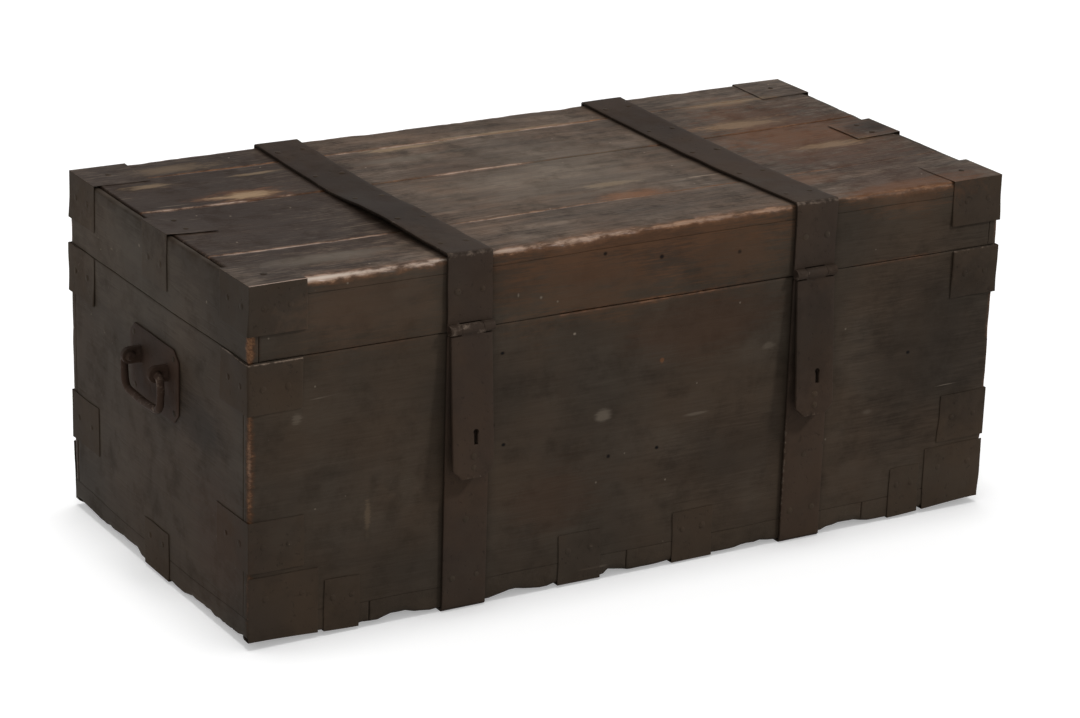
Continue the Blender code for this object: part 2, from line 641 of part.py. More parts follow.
def bail_route():
    """Points of the bail's middle line from its left end to its right, about the pivots: along, up."""
    eye_outside = HANDLE_SPAN / 2 + EYE_WIDTH / 2
    end = HANDLE_SPAN / 2 - EYE_WIDTH / 2 - BAIL_INSIDE
    turn = eye_outside + BAIL_OUTSIDE
    arm = turn + BAIL_SHOULDER
    shoulder = arc((turn, -BAIL_SHOULDER), BAIL_SHOULDER, 90, 0, BAIL_STEPS)
    grip = arc((arm - BAIL_CORNER, BAIL_CORNER - BAIL_DROP), BAIL_CORNER, 0, -90, BAIL_STEPS)
    half = [(end, 0), *shoulder, *grip]
    return [*half, *reversed(mirrored(half, -1))]


def build_handles(box):
    """A plate with two eyes and a drop bail on each end."""
    pivot_x = HALF_LENGTH + GAP + IRON + HANDLE_REACH
    half_width, half_height = PLATE_WIDTH / 2, PLATE_HEIGHT / 2
    middle = HANDLE_HEIGHT - PLATE_DROP
    corner = [(half_width, half_height - PLATE_CORNER), (half_width - PLATE_CORNER, half_height)]
    top = [*corner, *reversed(mirrored(corner, -1))]
    plate_outline = [*top, *reversed([(y, -z) for y, z in top])]
    plate_outline = [(y, middle + z) for y, z in plate_outline]
    for side, sign in SIDES.items():
        start, end = sign * (HALF_LENGTH + GAP), sign * (HALF_LENGTH + GAP + IRON)
        plate = prism(f"handle_plate_{side}", plate_outline, "X", start, end, box)
        root = HALF_LENGTH + GAP + IRON / 2
        lug = [
            (root, HANDLE_HEIGHT - EYE_RADIUS),
            *arc((pivot_x, HANDLE_HEIGHT), EYE_RADIUS, -90, 90, ROUND_SIDES // 2),
            (root, HANDLE_HEIGHT + EYE_RADIUS),
        ]
        hole = circle((pivot_x, HANDLE_HEIGHT), hole_radius(BAIL_RADIUS + EYE_PLAY))
        for edge, edge_sign in FACES.items():
            low = edge_sign * HANDLE_SPAN / 2 - EYE_WIDTH / 2
            join(plate, prism(f"eye_{side}_{edge}", mirrored(lug, sign), "Y", low, low + EYE_WIDTH, box))
        cut(plate, prism(f"eye_hole_{side}", mirrored(hole, sign), "Y", -HANDLE_SPAN, HANDLE_SPAN, box))
        finish(plate, RUSTY_IRON)
        curve = bpy.data.curves.new(f"handle_bail_{side}", "CURVE")
        curve.dimensions = "3D"
        curve.bevel_depth = BAIL_RADIUS
        curve.bevel_resolution = BAIL_BEVEL
        curve.use_fill_caps = True
        route = bail_route()
        spline = curve.splines.new("POLY")
        spline.points.add(len(route) - 1)
        for point, (along, up) in zip(spline.points, route):
            point.co = (0, along, up, 1)
        bail = add_object(f"handle_bail_{side}", curve, box)
        bail.location = (sign * pivot_x, 0, HANDLE_HEIGHT)
        finish(bail, RUSTY_IRON)


def main():
    """Build the trunk: the box and its irons, then the lid with its straps and hasps."""
    clear_scene()
    box = add_object("box", None)
    lid = axis_empty("lid_axis", LID_AXIS)
    boards = build_box_walls(box)
    build_bottom(box)
    build_box_irons(box)
    build_front_straps(box, boards["front"])
    build_back_straps(box)
    build_handles(box)
    build_lid_wood(lid)
    build_lid_irons(lid)
    build_lid_straps(lid)
    build_hasps(lid)


main()
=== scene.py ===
"""Looks of an old iron-bound plank trunk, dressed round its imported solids.

Metres, +Z up. The front faces -Y and the left end faces -X. Every worn board and forged iron is worked
up from the solid that it stands for, in place, so each piece rides where that solid is.
"""

import json
import logging
import math
from collections.abc import Iterable, Sequence
from dataclasses import dataclass, replace
from enum import Enum, IntEnum
from functools import cache
from typing import Any

import bmesh
import bpy
import numpy as np
from mathutils import Matrix, Vector
from mathutils.bvhtree import BVHTree


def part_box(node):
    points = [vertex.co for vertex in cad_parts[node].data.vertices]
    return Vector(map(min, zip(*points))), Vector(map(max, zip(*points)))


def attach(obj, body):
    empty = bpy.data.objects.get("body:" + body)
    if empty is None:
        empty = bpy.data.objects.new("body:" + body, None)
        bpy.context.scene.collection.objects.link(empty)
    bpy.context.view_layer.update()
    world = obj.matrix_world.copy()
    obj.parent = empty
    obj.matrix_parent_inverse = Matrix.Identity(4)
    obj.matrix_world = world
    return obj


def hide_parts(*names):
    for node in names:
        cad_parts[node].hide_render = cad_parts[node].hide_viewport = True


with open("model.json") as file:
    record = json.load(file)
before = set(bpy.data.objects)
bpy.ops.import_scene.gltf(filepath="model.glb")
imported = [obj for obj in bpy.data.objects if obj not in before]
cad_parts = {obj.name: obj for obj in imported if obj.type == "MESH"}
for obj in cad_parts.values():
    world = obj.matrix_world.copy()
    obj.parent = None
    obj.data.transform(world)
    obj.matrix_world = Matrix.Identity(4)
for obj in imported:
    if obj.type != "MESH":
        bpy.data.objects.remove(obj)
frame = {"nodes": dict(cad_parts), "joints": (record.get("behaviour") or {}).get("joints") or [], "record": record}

LOG = logging.getLogger("trunk")
Points = np.ndarray
Colour = tuple[float, float, float]
Place = tuple[float, float, float]
WHITE = (1.0, 1.0, 1.0)

# Where marks and rubbed edges lie: planes of the wood and the joints of the lid's planks

FRONT_Y = -0.274
LEFT_X = -0.572
END_X = -0.574
TOP_Z = 0.4825
SEAM_Z = 0.3832
BASE_Z = 0.0043
REAR_JOINT_Y = 0.2044
MIDDLE_JOINT_Y = 0.0654
FRONT_JOINT_Y = -0.1396

# How many bands lap under the bottom between its corners

BAND_COUNT = 4

# How far off a place may lie and still count as on a plane

TOUCHING = 1e-5


class Axis(Enum):
    """The three directions of the frame."""

    X = 0
    Y = 1
    Z = 2


class Worded(Enum):
    """Options that the solids' names spell out."""

    @property
    def word(self) -> str:
        """The name as the solids' names hold it."""
        return self.name.lower()


class Side(Worded):
    """The trunk's two ends, with the sign of X."""

    LEFT = -1
    RIGHT = 1


class Face(Worded):
    """The trunk's two long walls, with the sign of Y."""

    FRONT = -1
    BACK = 1


def shown(red: int, green: int, blue: int) -> Colour:
    """Linear colour of an 8-bit colour as a screen shows it."""
    parts = [value / 255 for value in (red, green, blue)]
    return tuple(p / 12.92 if p <= 0.04045 else ((p + 0.055) / 1.055) ** 2.4 for p in parts)


# Noise on points

HASH_STRIDES = np.array([374761393, 668265263, 2147483647], dtype=np.int64)
HASH_MIX = np.int64(1274126177)
SEED_SHIFT = 19.37


class Field(IntEnum):
    """Which of many noise fields each unevenness reads."""

    BEND = 3
    RIPPLE = 11
    SWELL = 21
    NICK = 23
    NOTCH = 29
    RAGGED = 31
    PATCH = 37
    LIFT = 41
    WANDER = 43
    DENT = 51
    BLOW = 61
    BAIL_RUB = 67
    EDGE_RUB = 71
    KNUCKLE_RUB = 79


def eased(values: Points, low: float, high: float) -> Points:
    """Smooth step of each value, from 0 up to low to 1 from high on."""
    part = np.clip((values - low) / (high - low), 0, 1)
    return part * part * (3 - 2 * part)


def soft_noise(points: Points, size: float, seed: int) -> Points:
    """Smooth noise in space.

    Args:
        points: Places, one row each.
        size: How far apart its swells are.
        seed: Which of many fields to read.

    Returns:
        A number from -1 to 1 for each place.
    """
    scaled = points / size + seed * SEED_SHIFT
    cell = np.floor(scaled).astype(np.int64)
    part = scaled - cell
    ease = part * part * (3 - 2 * part)
    total = np.zeros(len(points))
    for corner in np.ndindex(2, 2, 2):
        mixed = ((cell + corner) * HASH_STRIDES).sum(axis=1) + seed
        mixed = (mixed ^ (mixed >> 13)) * HASH_MIX
        value = ((mixed ^ (mixed >> 16)) & 0xFFFF) / 32767.5 - 1
        total += np.where(corner, ease, 1 - ease).prod(axis=1) * value
    return total


def soft_drift(points: Points, size: float, seed: int) -> Points:
    """Smooth noise with three parts, each from -1 to 1."""
    return np.stack([soft_noise(points, size, seed + part) for part in range(3)], axis=1)


def note(mesh: bpy.types.Mesh, name: str, values: Points) -> None:
    """Writes a number for each corner into a mesh, under a name."""
    mesh.attributes.new(name, "FLOAT", "POINT").data.foreach_set("value", values.astype(np.float32))


def placed(name: str, data: bpy.types.ID) -> bpy.types.Object:
    """Puts a mesh, a light or a camera into the scene.

    Args:
        name: Its name.
        data: What it is.

    Returns:
        The object.
    """
    thing = bpy.data.objects.new(name, data)
    bpy.context.scene.collection.objects.link(thing)
    return thing


# The trunk's own planes and how its timber has moved


@dataclass(frozen=True)
class Trunk:
    """Planes of the wood, read from the frame."""

    half_length: float
    half_depth: float
    base: float
    seam: float
    top: float

    @classmethod
    def measured(cls) -> "Trunk":
        """Reads the planes from the solids.

        Returns:
            The planes.
        """
        wall_low, wall_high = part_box("front_board")
        plank_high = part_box("lid_plank_4")[1]
        bottom_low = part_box("bottom_plank_1")[0]
        return cls(wall_high.x, -wall_low.y, bottom_low.z, wall_high.z, plank_high.z)

    def proud(self, points: Points) -> tuple[Points, Points]:
        """How far each place stands out of the wood.

        Args:
            points: Places, one row each.

        Returns:
            The sign of the nearer plane along X, Y and Z, and how far the place lies beyond that plane.
        """
        middle = np.array([0.0, 0.0, (self.base + self.top) / 2])
        half = np.array([self.half_length, self.half_depth, (self.top - self.base) / 2])
        offset = points - middle
        return np.sign(offset), np.abs(offset) - half


@dataclass(frozen=True)
class Settling:
    """Slow bends of the whole trunk and the sag of its top, still at hinges, hasps and handles."""

    trunk: Trunk
    bend: float = 0.0013
    bend_size: float = 0.33
    ripple: float = 0.0005
    ripple_size: float = 0.09
    sag: float = 0.005
    hinge_still: float = 0.012
    hinge_free: float = 0.07
    strap_still: float = 0.036
    strap_free: float = 0.10
    corner_lift: float = 0.007
    corner_start: tuple[float, float] = (0.40, 0.10)
    corner_height: float = 0.13

    def freedom(self, points: Points) -> Points:
        """How freely each place may move.

        Args:
            points: Places, one row each.

        Returns:
            A number from 0, still, to 1 for each place.
        """
        free = np.ones(len(points))
        for joint in frame["joints"]:
            if joint["type"] != "hinge":
                continue
            along = int(np.argmax(np.abs(joint["axis"])))
            across = [axis for axis in range(3) if axis != along]
            pivot = np.array(joint["pos_m"])[across]
            distance = np.linalg.norm(points[:, across] - pivot, axis=1)
            free *= eased(distance, self.hinge_still, self.hinge_free)
            if "hasp" in joint["name"]:
                aside = np.abs(points[:, 0] - joint["pos_m"][0])
                front = (points[:, 1] < 0) & (points[:, 2] < self.trunk.seam)
                free *= np.where(front, eased(aside, self.strap_still, self.strap_free), 1)
        return free

    def moved(self, points: Points) -> Points:
        """Places after the trunk's slow bends.

        Args:
            points: Places, one row each.

        Returns:
            The moved places.
        """
        shift = self.bend * soft_drift(points, self.bend_size, Field.BEND)
        shift += self.ripple * soft_drift(points, self.ripple_size, Field.RIPPLE)
        shift *= self.freedom(points)[:, None]
        along = eased(np.abs(points[:, 0]), self.corner_start[0], self.trunk.half_length)
        across = eased(np.abs(points[:, 1]), self.corner_start[1], self.trunk.half_depth)
        low = 1 - eased(points[:, 2], 0, self.corner_height)
        shift[:, 2] += self.corner_lift * along * across * low
        return points + shift

    def sagged(self, points: Points) -> Points:
        """Places on the lid's top after it has sunk in the middle.

        Args:
            points: Places, one row each.

        Returns:
            The moved places.
        """
        along = np.clip(np.abs(points[:, 0]) / self.trunk.half_length, 0, 1)
        across = np.clip(np.abs(points[:, 1]) / self.trunk.half_depth, 0, 1)
        sunk = points.copy()
        sunk[:, 2] -= self.sag * (1 - across**2) * (1 - along**6)
        return sunk


# Square-cornered solids and their worn edges


@dataclass(frozen=True)
class Arris:
    """A straight outer edge of a square-cornered solid."""

    axis: int
    start: float
    end: float
    corner: tuple[float, float]
    inward: tuple[int, int]

    @property
    def across(self) -> tuple[int, int]:
        """The two axes square to the edge."""
        return (self.axis + 1) % 3, (self.axis + 2) % 3

    def line_points(self, points: Points) -> Points:
        """The places on the edge that lie beside some points.

        Args:
            points: Places, one row each.

        Returns:
            The same places moved onto the edge's line.
        """
        moved = points.copy()
        for axis, value in zip(self.across, self.corner):
            moved[:, axis] = value
        return moved


@dataclass(frozen=True)
class RubbedEdge:
    """A stretch of edge that hands and haulage have worn further than the rest."""

    axis: Axis
    middle: Place
    half: float
    reach: tuple[float, float]
    bareness: float
    # Share of polish: more gloss, and also a near-white painted highlight colour
    polish: float = 0.0
    fade: float = 0.05

    SLACK = 0.006

    def share(self, arris: Arris, line: Points) -> Points:
        """How much of this extra wear each place on an edge has.

        Args:
            arris: The edge.
            line: Places on its line.

        Returns:
            A number from 0 to 1 for each place.
        """
        if arris.axis != self.axis.value:
            return np.zeros(len(line))
        across = list(arris.across)
        far = np.linalg.norm(np.array(arris.corner) - np.array(self.middle)[across])
        if far > self.SLACK:
            return np.zeros(len(line))
        away = np.abs(line[:, arris.axis] - self.middle[arris.axis])
        return 1 - eased(away, self.half - self.fade, self.half)


FRONT_EDGE_RUBS = (
    RubbedEdge(Axis.X, (-0.440, FRONT_Y, TOP_Z), 0.190, (0.012, 0.005), 1.00, 1.0),
    RubbedEdge(Axis.X, (-0.120, FRONT_Y, TOP_Z), 0.140, (0.011, 0.005), 0.86, 0.45),
    RubbedEdge(Axis.X, (0.110, FRONT_Y, TOP_Z), 0.140, (0.010, 0.005), 0.80, 0.15),
    RubbedEdge(Axis.X, (0.410, FRONT_Y, TOP_Z), 0.110, (0.008, 0.006), 0.52, 0.0),
)


@dataclass(frozen=True)
class EdgeWear:
    """How far the edges of one kind of stock are rounded and chipped."""

    open_round: float
    joint_round: float
    hidden_round: float
    chip: float
    chip_size: float = 0.035
    swell_size: float = 0.14
    tail: float = 0.0025
    bare_round: float = 0.004
    upper_bareness: float = 1.0
    side_bareness: float = 1.0
    lower_bareness: float = 0.0
    cross_bareness: float = 1.0
    filled_round: float = 0.0005
    plane_slack: float = 0.005

    BARE_FROM = 0.35
    CHIP_SHARES = (0.0, 0.25, 1.0)
    SWELL_SHARE = 0.55
    NICK_FROM = 0.25
    NOTCH_FROM = 0.3
    NOTCH_SHARE = 0.5

    def bareness(self, arris: Arris, radius: Points) -> Points:
        """How bare each place on an edge is.

        Args:
            arris: The edge.
            radius: The worn edge's radius at each place.

        Returns:
            A number from 0 to 1 for each place.
        """
        shares = {-1: self.upper_bareness, 0: self.side_bareness, 1: self.lower_bareness}
        pairs = zip(arris.across, arris.inward)
        upright = sum(inward for axis, inward in pairs if axis == Axis.Z.value)
        share = shares[upright]
        if arris.axis == Axis.Y.value:
            share *= self.cross_bareness
        return share * np.clip(radius / self.bare_round - self.BARE_FROM, 0, 1)

    def filled(self, arris: Arris, trunk: Trunk) -> bool:
        """Whether paint has filled the joint that an edge lies at.

        Args:
            arris: The edge.
            trunk: The wood's planes.

        Returns:
            True for a level joint other than the lid's seam.
        """
        if arris.axis == Axis.Z.value:
            return False
        height = arris.corner[arris.across.index(Axis.Z.value)]
        away = min(abs(height - plane) for plane in (trunk.base, trunk.seam, trunk.top))
        return away > self.plane_slack

    def rounding(self, arris: Arris, line: Points, trunk: Trunk) -> Points:
        """Radius of the worn edge at each place on it.

        Args:
            arris: The edge.
            line: Places on its line.
            trunk: The wood's planes.

        Returns:
            A radius for each place.
        """
        if self.filled(arris, trunk):
            return np.full(len(line), self.filled_round)
        outer = [trunk.half_length, trunk.half_depth, trunk.top]
        open_sides = 0
        for axis, value in zip(arris.across, arris.corner):
            on_plane = abs(abs(value) - outer[axis]) < self.plane_slack
            on_base = axis == Axis.Z.value and abs(value - trunk.base) < self.plane_slack
            open_sides += int(on_plane or on_base)
        base = (self.hidden_round, self.joint_round, self.open_round)[open_sides]
        chip = self.chip * self.CHIP_SHARES[open_sides]
        swell = self.SWELL_SHARE * soft_noise(line, self.swell_size, Field.SWELL)
        nick = np.clip(soft_noise(line, self.chip_size, Field.NICK) - self.NICK_FROM, 0, 1)
        notch = np.clip(soft_noise(line, self.chip_size / 3, Field.NOTCH) - self.NOTCH_FROM, 0, 1)
        return base * (1 + swell) + chip * (nick / (1 - self.NICK_FROM) + self.NOTCH_SHARE * notch)


@dataclass
class SquaredSolid:
    """A solid with square corners, as a grid of cells cut at its own faces."""

    marks: list[Points]
    filled: np.ndarray

    MARK_DIGITS = 5
    RIMS = (0.0009, 0.0022, 0.0042, 0.0075, 0.0125)
    RIM_LIMIT = 0.42
    PROBE = Vector((0.2311, 0.3517, 0.9072))
    STEP = 1e-6

    @classmethod
    def from_node(cls, name: str) -> "SquaredSolid":
        """Reads a solid of the frame.

        Args:
            name: The solid's name.

        Returns:
            Its cells.
        """
        mesh = frame["nodes"][name].data
        places = np.array([vertex.co for vertex in mesh.vertices])
        marks = [np.unique(places[:, axis].round(cls.MARK_DIGITS)) for axis in range(3)]
        middles = [(values[1:] + values[:-1]) / 2 for values in marks]
        tree = BVHTree.FromPolygons(places.tolist(), [tuple(p.vertices) for p in mesh.polygons])
        filled = np.zeros([len(values) for values in middles], dtype=bool)
        for cell in np.ndindex(*filled.shape):
            middle = Vector([values[i] for values, i in zip(middles, cell)])
            filled[cell] = cls.holds(tree, middle)
        return cls(marks, filled)

    @classmethod
    def from_box(cls, name: str) -> "SquaredSolid":
        """The plain box round a solid of the frame, as one filled cell."""
        low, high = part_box(name)
        return cls([np.array(pair) for pair in zip(low, high)], np.ones((1, 1, 1), dtype=bool))

    @classmethod
    def holds(cls, tree: BVHTree, place: Vector) -> bool:
        """Whether a place lies in a closed surface.

        Args:
            tree: The surface.
            place: The place.

        Returns:
            True if it lies inside.
        """
        crossings = 0
        hit = tree.ray_cast(place, cls.PROBE)[0]
        while hit is not None:
            crossings += 1
            hit = tree.ray_cast(hit + cls.PROBE * cls.STEP, cls.PROBE)[0]
        return crossings % 2 == 1

    def lines(self, axis: int, pitch: float) -> tuple[Points, np.ndarray]:
        """Grid lines along one axis, close together beside the solid's own faces.

        Args:
            axis: The axis.
            pitch: The widest step.

        Returns:
            The lines, and for each step the cell that it lies in.
        """
        places, owners = [], []
        values = self.marks[axis]
        for cell, (start, end) in enumerate(zip(values[:-1], values[1:])):
            rims = [rim for rim in self.RIMS if rim < self.RIM_LIMIT * (end - start)]
            low, high = [start + rim for rim in rims], [end - rim for rim in reversed(rims)]
            first, last = (low or [start])[-1], (high or [end])[0]
            steps = max(1, math.ceil((last - first) / pitch))
            between = np.linspace(first, last, steps + 1)[1:-1]
            here = [start, *low, *between, *high]
            places += here
            owners += [cell] * len(here)
        return np.array([*places, values[-1]]), np.array(owners)

    def surface(self, pitch: Sequence[float]) -> tuple[Points, np.ndarray]:
        """The solid's skin as a fine grid.

        Args:
            pitch: The widest step along X, Y and Z.

        Returns:
            The places, and four of them for each face.
        """
        cut = [self.lines(axis, pitch[axis]) for axis in range(3)]
        lines = [places for places, _ in cut]
        fine = self.filled[np.ix_(*[owners for _, owners in cut])]
        counts = [len(places) for places in lines]
        padded = np.pad(fine, 1)
        faces = []
        for axis in range(3):
            for side in (0, 1):
                beside = np.roll(padded, 1 - 2 * side, axis)[1:-1, 1:-1, 1:-1]
                cells = np.argwhere(fine & ~beside)
                cells[:, axis] += side
                ring = [(0, 0), (1, 0), (1, 1), (0, 1)]
                quad = []
                for step_u, step_v in ring if side else reversed(ring):
                    corner = cells.copy()
                    corner[:, (axis + 1) % 3] += step_u
                    corner[:, (axis + 2) % 3] += step_v
                    quad.append(np.ravel_multi_index(corner.T, counts))
                faces.append(np.stack(quad, axis=1))
        used, numbers = np.unique(np.concatenate(faces), return_inverse=True)
        index = np.unravel_index(used, counts)
        points = np.stack([lines[axis][index[axis]] for axis in range(3)], axis=1)
        return points, numbers.reshape(-1, 4)

    def arrises(self) -> list[Arris]:
        """Finds the solid's straight outer edges.

        Returns:
            The edges.
        """
        found = []
        padded = np.pad(self.filled, 1)
        for axis in range(3):
            u, v = (axis + 1) % 3, (axis + 2) % 3
            turned = padded.transpose(axis, u, v)[1:-1].astype(int)
            around = turned[:, :-1, :-1] + turned[:, 1:, :-1] + turned[:, :-1, 1:] + turned[:, 1:, 1:]
            for i, j in np.ndindex(*around.shape[1:]):
                for a, b in np.ndindex(2, 2):
                    here = (around[:, i, j] == 1) & (turned[:, i + a, j + b] == 1)
                    bounds = np.flatnonzero(np.diff(np.pad(here.astype(int), 1)))
                    corner = (self.marks[u][i], self.marks[v][j])
                    inward = (2 * a - 1, 2 * b - 1)
                    for first, last in zip(bounds[::2], bounds[1::2]):
                        ends = self.marks[axis][first], self.marks[axis][last]
                        found.append(Arris(axis, *ends, corner, inward))
        return found


@dataclass
class WornSkin:
    """The skin of a square-cornered solid while its edges are being worn."""

    points: Points
    faces: np.ndarray
    wear: Points
    polish: Points

    REACH = 0.05
    SLACK = 1e-6
    RAGGED_SIZE = 0.011
    RAGGED_LEVEL, RAGGED_SWING = 0.85, 0.75
    PATCH_SIZE = 0.045
    PATCH_LEVEL, PATCH_SWING = 0.78, 0.6
    FADE_FROM = 1.15
    POLISH_FALL = 4

    @classmethod
    def cut(cls, solid: SquaredSolid, pitch: Sequence[float]) -> "WornSkin":
        """Takes the skin, still sharp, off a solid, in steps of at most the pitch."""
        points, faces = solid.surface(pitch)
        return cls(points, faces, np.zeros(len(points)), np.zeros(len(points)))

    def wear_edges(
        self, arrises: Iterable[Arris], wear: EdgeWear, trunk: Trunk, rubbed: Sequence[RubbedEdge] = ()
    ) -> None:
        """Rounds and chips the edges, and notes how bare each place has become.

        Args:
            arrises: The edges.
            wear: How far the stock is worn.
            trunk: The wood's planes.
            rubbed: Stretches that are worn further.
        """
        sharp = self.points.copy()
        for arris in arrises:
            u, v = arris.across
            along = sharp[:, arris.axis]
            first = (sharp[:, u] - arris.corner[0]) * arris.inward[0]
            second = (sharp[:, v] - arris.corner[1]) * arris.inward[1]
            near = (along > arris.start - self.SLACK) & (along < arris.end + self.SLACK)
            near &= (np.minimum(first, second) > -self.SLACK) & (np.maximum(first, second) < self.REACH)
            if not near.any():
                continue
            line = arris.line_points(sharp[near])
            radius = wear.rounding(arris, line, trunk)
            bare = wear.bareness(arris, radius)
            polish = np.zeros(len(line))
            legs = [radius, radius.copy()]
            for rub in rubbed:
                share = rub.share(arris, line)
                swing = self.RAGGED_SWING * soft_noise(line, self.RAGGED_SIZE, Field.RAGGED)
                ragged = share * (self.RAGGED_LEVEL + swing)
                legs = [leg + ragged * extra for leg, extra in zip(legs, rub.reach)]
                swing = self.PATCH_SWING * soft_noise(line, self.PATCH_SIZE, Field.PATCH)
                patchy = share * np.clip(self.PATCH_LEVEL + swing, 0, 1)
                bare = np.maximum(bare, patchy * rub.bareness)
                polish = np.maximum(polish, patchy * rub.polish)
            self.round_off(arris, near, legs)
            depth = np.maximum(first[near] / (legs[0] + wear.tail), second[near] / (legs[1] + wear.tail))
            fade = np.clip(self.FADE_FROM - depth, 0, 1)
            self.wear[near] = np.maximum(self.wear[near], bare * fade)
            self.polish[near] = np.maximum(self.polish[near], polish * fade**self.POLISH_FALL)

    def round_off(self, arris: Arris, near: np.ndarray, legs: Sequence[Points]) -> None:
        """Pulls the places beside one edge onto a quarter of an ellipse.

        Args:
            arris: The edge.
            near: Which places lie beside it.
            legs: How far the ellipse reaches along the two faces, for each such place.
        """
        part = []
        for axis, value, inward, leg in zip(arris.across, arris.corner, arris.inward, legs):
            part.append((self.points[near, axis] - value) * inward / leg - 1)
        length = np.hypot(*part)
        beyond = (part[0] < 0) & (part[1] < 0) & (length > 1)
        scale = np.where(beyond, 1 / np.maximum(length, 1), 1)
        for axis, value, inward, leg, share in zip(
            arris.across, arris.corner, arris.inward, legs, part
        ):
            self.points[near, axis] = value + inward * leg * (1 + share * scale)

    def to_mesh(self, name: str, points: Points) -> bpy.types.Mesh:
        """Makes a mesh with moved corners that holds its wear and polish.

        Args:
            name: The mesh's name.
            points: The new places of its corners.

        Returns:
            The mesh.
        """
        mesh = bpy.data.meshes.new(name)
        mesh.from_pydata(points.tolist(), [], self.faces.tolist())
        note(mesh, "wear", self.wear)
        note(mesh, "polish", self.polish)
        return mesh


# Forged pieces worked up from a solid's own mesh


class ForgedSkin:
    """A copy of a solid's mesh, softened at its edges and cut fine enough to hammer."""

    WELD = 1e-5
    FLAT = math.radians(0.6)
    SHARP = math.radians(38)
    ROUND = 0.9

    def __init__(self, node: str) -> None:
        """Copies a solid of the frame and joins its flat facets.

        Args:
            node: The solid's name.
        """
        self.mesh = bmesh.new()
        self.mesh.from_mesh(frame["nodes"][node].data)
        bmesh.ops.remove_doubles(self.mesh, verts=self.mesh.verts, dist=self.WELD)
        bmesh.ops.dissolve_limit(
            self.mesh, angle_limit=self.FLAT, verts=self.mesh.verts, edges=self.mesh.edges
        )

    def soften(self, width: float, shortest: float) -> None:
        """Bevels the sharp edges.

        Args:
            width: How wide the bevel is.
            shortest: Edges shorter than this stay sharp.
        """
        edges = [
            edge
            for edge in self.mesh.edges
            if edge.is_manifold
            and edge.calc_length() > shortest
            and edge.calc_face_angle_signed(0) > self.SHARP
        ]
        bmesh.ops.bevel(
            self.mesh,
            geom=edges,
            offset=width,
            segments=2,
            profile=0.5,
            affect="EDGES",
            clamp_overlap=True,
        )

    def slice(self, pitch: Sequence[float]) -> None:
        """Cuts the skin by planes square to each axis.

        Args:
            pitch: The step between the planes along X, Y and Z; 0 leaves an axis uncut.
        """
        for axis, step in enumerate(pitch):
            if not step:
                continue
            places = [vertex.co[axis] for vertex in self.mesh.verts]
            low, high = min(places), max(places)
            normal = Vector([float(axis == other) for other in range(3)])
            count = math.ceil((high - low) / step)
            for number in range(1, count):
                geometry = [*self.mesh.verts, *self.mesh.edges, *self.mesh.faces]
                middle = normal * (low + (high - low) * number / count)
                bmesh.ops.bisect_plane(
                    self.mesh, geom=geometry, dist=self.WELD, plane_co=middle, plane_no=normal
                )

    def worked(self, width: float, shortest: float, pitch: Sequence[float]) -> Points:
        """Bevels the skin and cuts it.

        Args:
            width: How wide the bevel is.
            shortest: Edges shorter than this stay sharp.
            pitch: The step between the cuts along X, Y and Z; 0 leaves an axis uncut.

        Returns:
            The places of its corners.
        """
        self.soften(width, shortest)
        self.slice(pitch)
        return self.points()

    def refine(self) -> None:
        """Halves every edge and smooths the skin."""
        edges = self.mesh.edges
        bmesh.ops.subdivide_edges(self.mesh, edges=edges, cuts=1, use_grid_fill=True, smooth=self.ROUND)

    def points(self) -> Points:
        """The places of its corners."""
        return np.array([vertex.co for vertex in self.mesh.verts])

    def to_mesh(self, name: str, points: Points) -> bpy.types.Mesh:
        """Makes a mesh with moved corners, and frees the copy.

        Args:
            name: The mesh's name.
            points: The new places of its corners.

        Returns:
            The mesh.
        """
        for vertex, place in zip(self.mesh.verts, points):
            vertex.co = place
        mesh = bpy.data.meshes.new(name)
        self.mesh.to_mesh(mesh)
        self.mesh.free()
        return mesh


@dataclass(frozen=True)
class Hammering:
    """How uneven forged flat iron is, and how far paint and wear have flattened it."""

    trunk: Trunk
    lift: float = 0.0004
    lift_size: float = 0.06
    gap: float = 0.0003
    wander: float = 0.0014
    wander_size: float = 0.035

    def shift(self, points: Points, freedom: Points, bedding: Points) -> Points:
        """How far each place is moved by the hammer.

        Args:
            points: Places, one row each.
            freedom: A number from 0, still, to 1 for each place.
            bedding: The share of its thickness that the iron has sunk, along X, Y and Z.

        Returns:
            The moves, one row each.
        """
        sign, beyond = self.trunk.proud(points)
        outside = beyond > -TOUCHING
        rise = self.lift * (0.5 + 0.5 * soft_noise(points, self.lift_size, Field.LIFT))[:, None]
        rise = rise - bedding * np.maximum(beyond - self.gap, 0)
        sideways = self.wander * soft_drift(points, self.wander_size, Field.WANDER)
        return np.where(outside, sign * rise, sideways) * freedom[:, None]


# Node trees


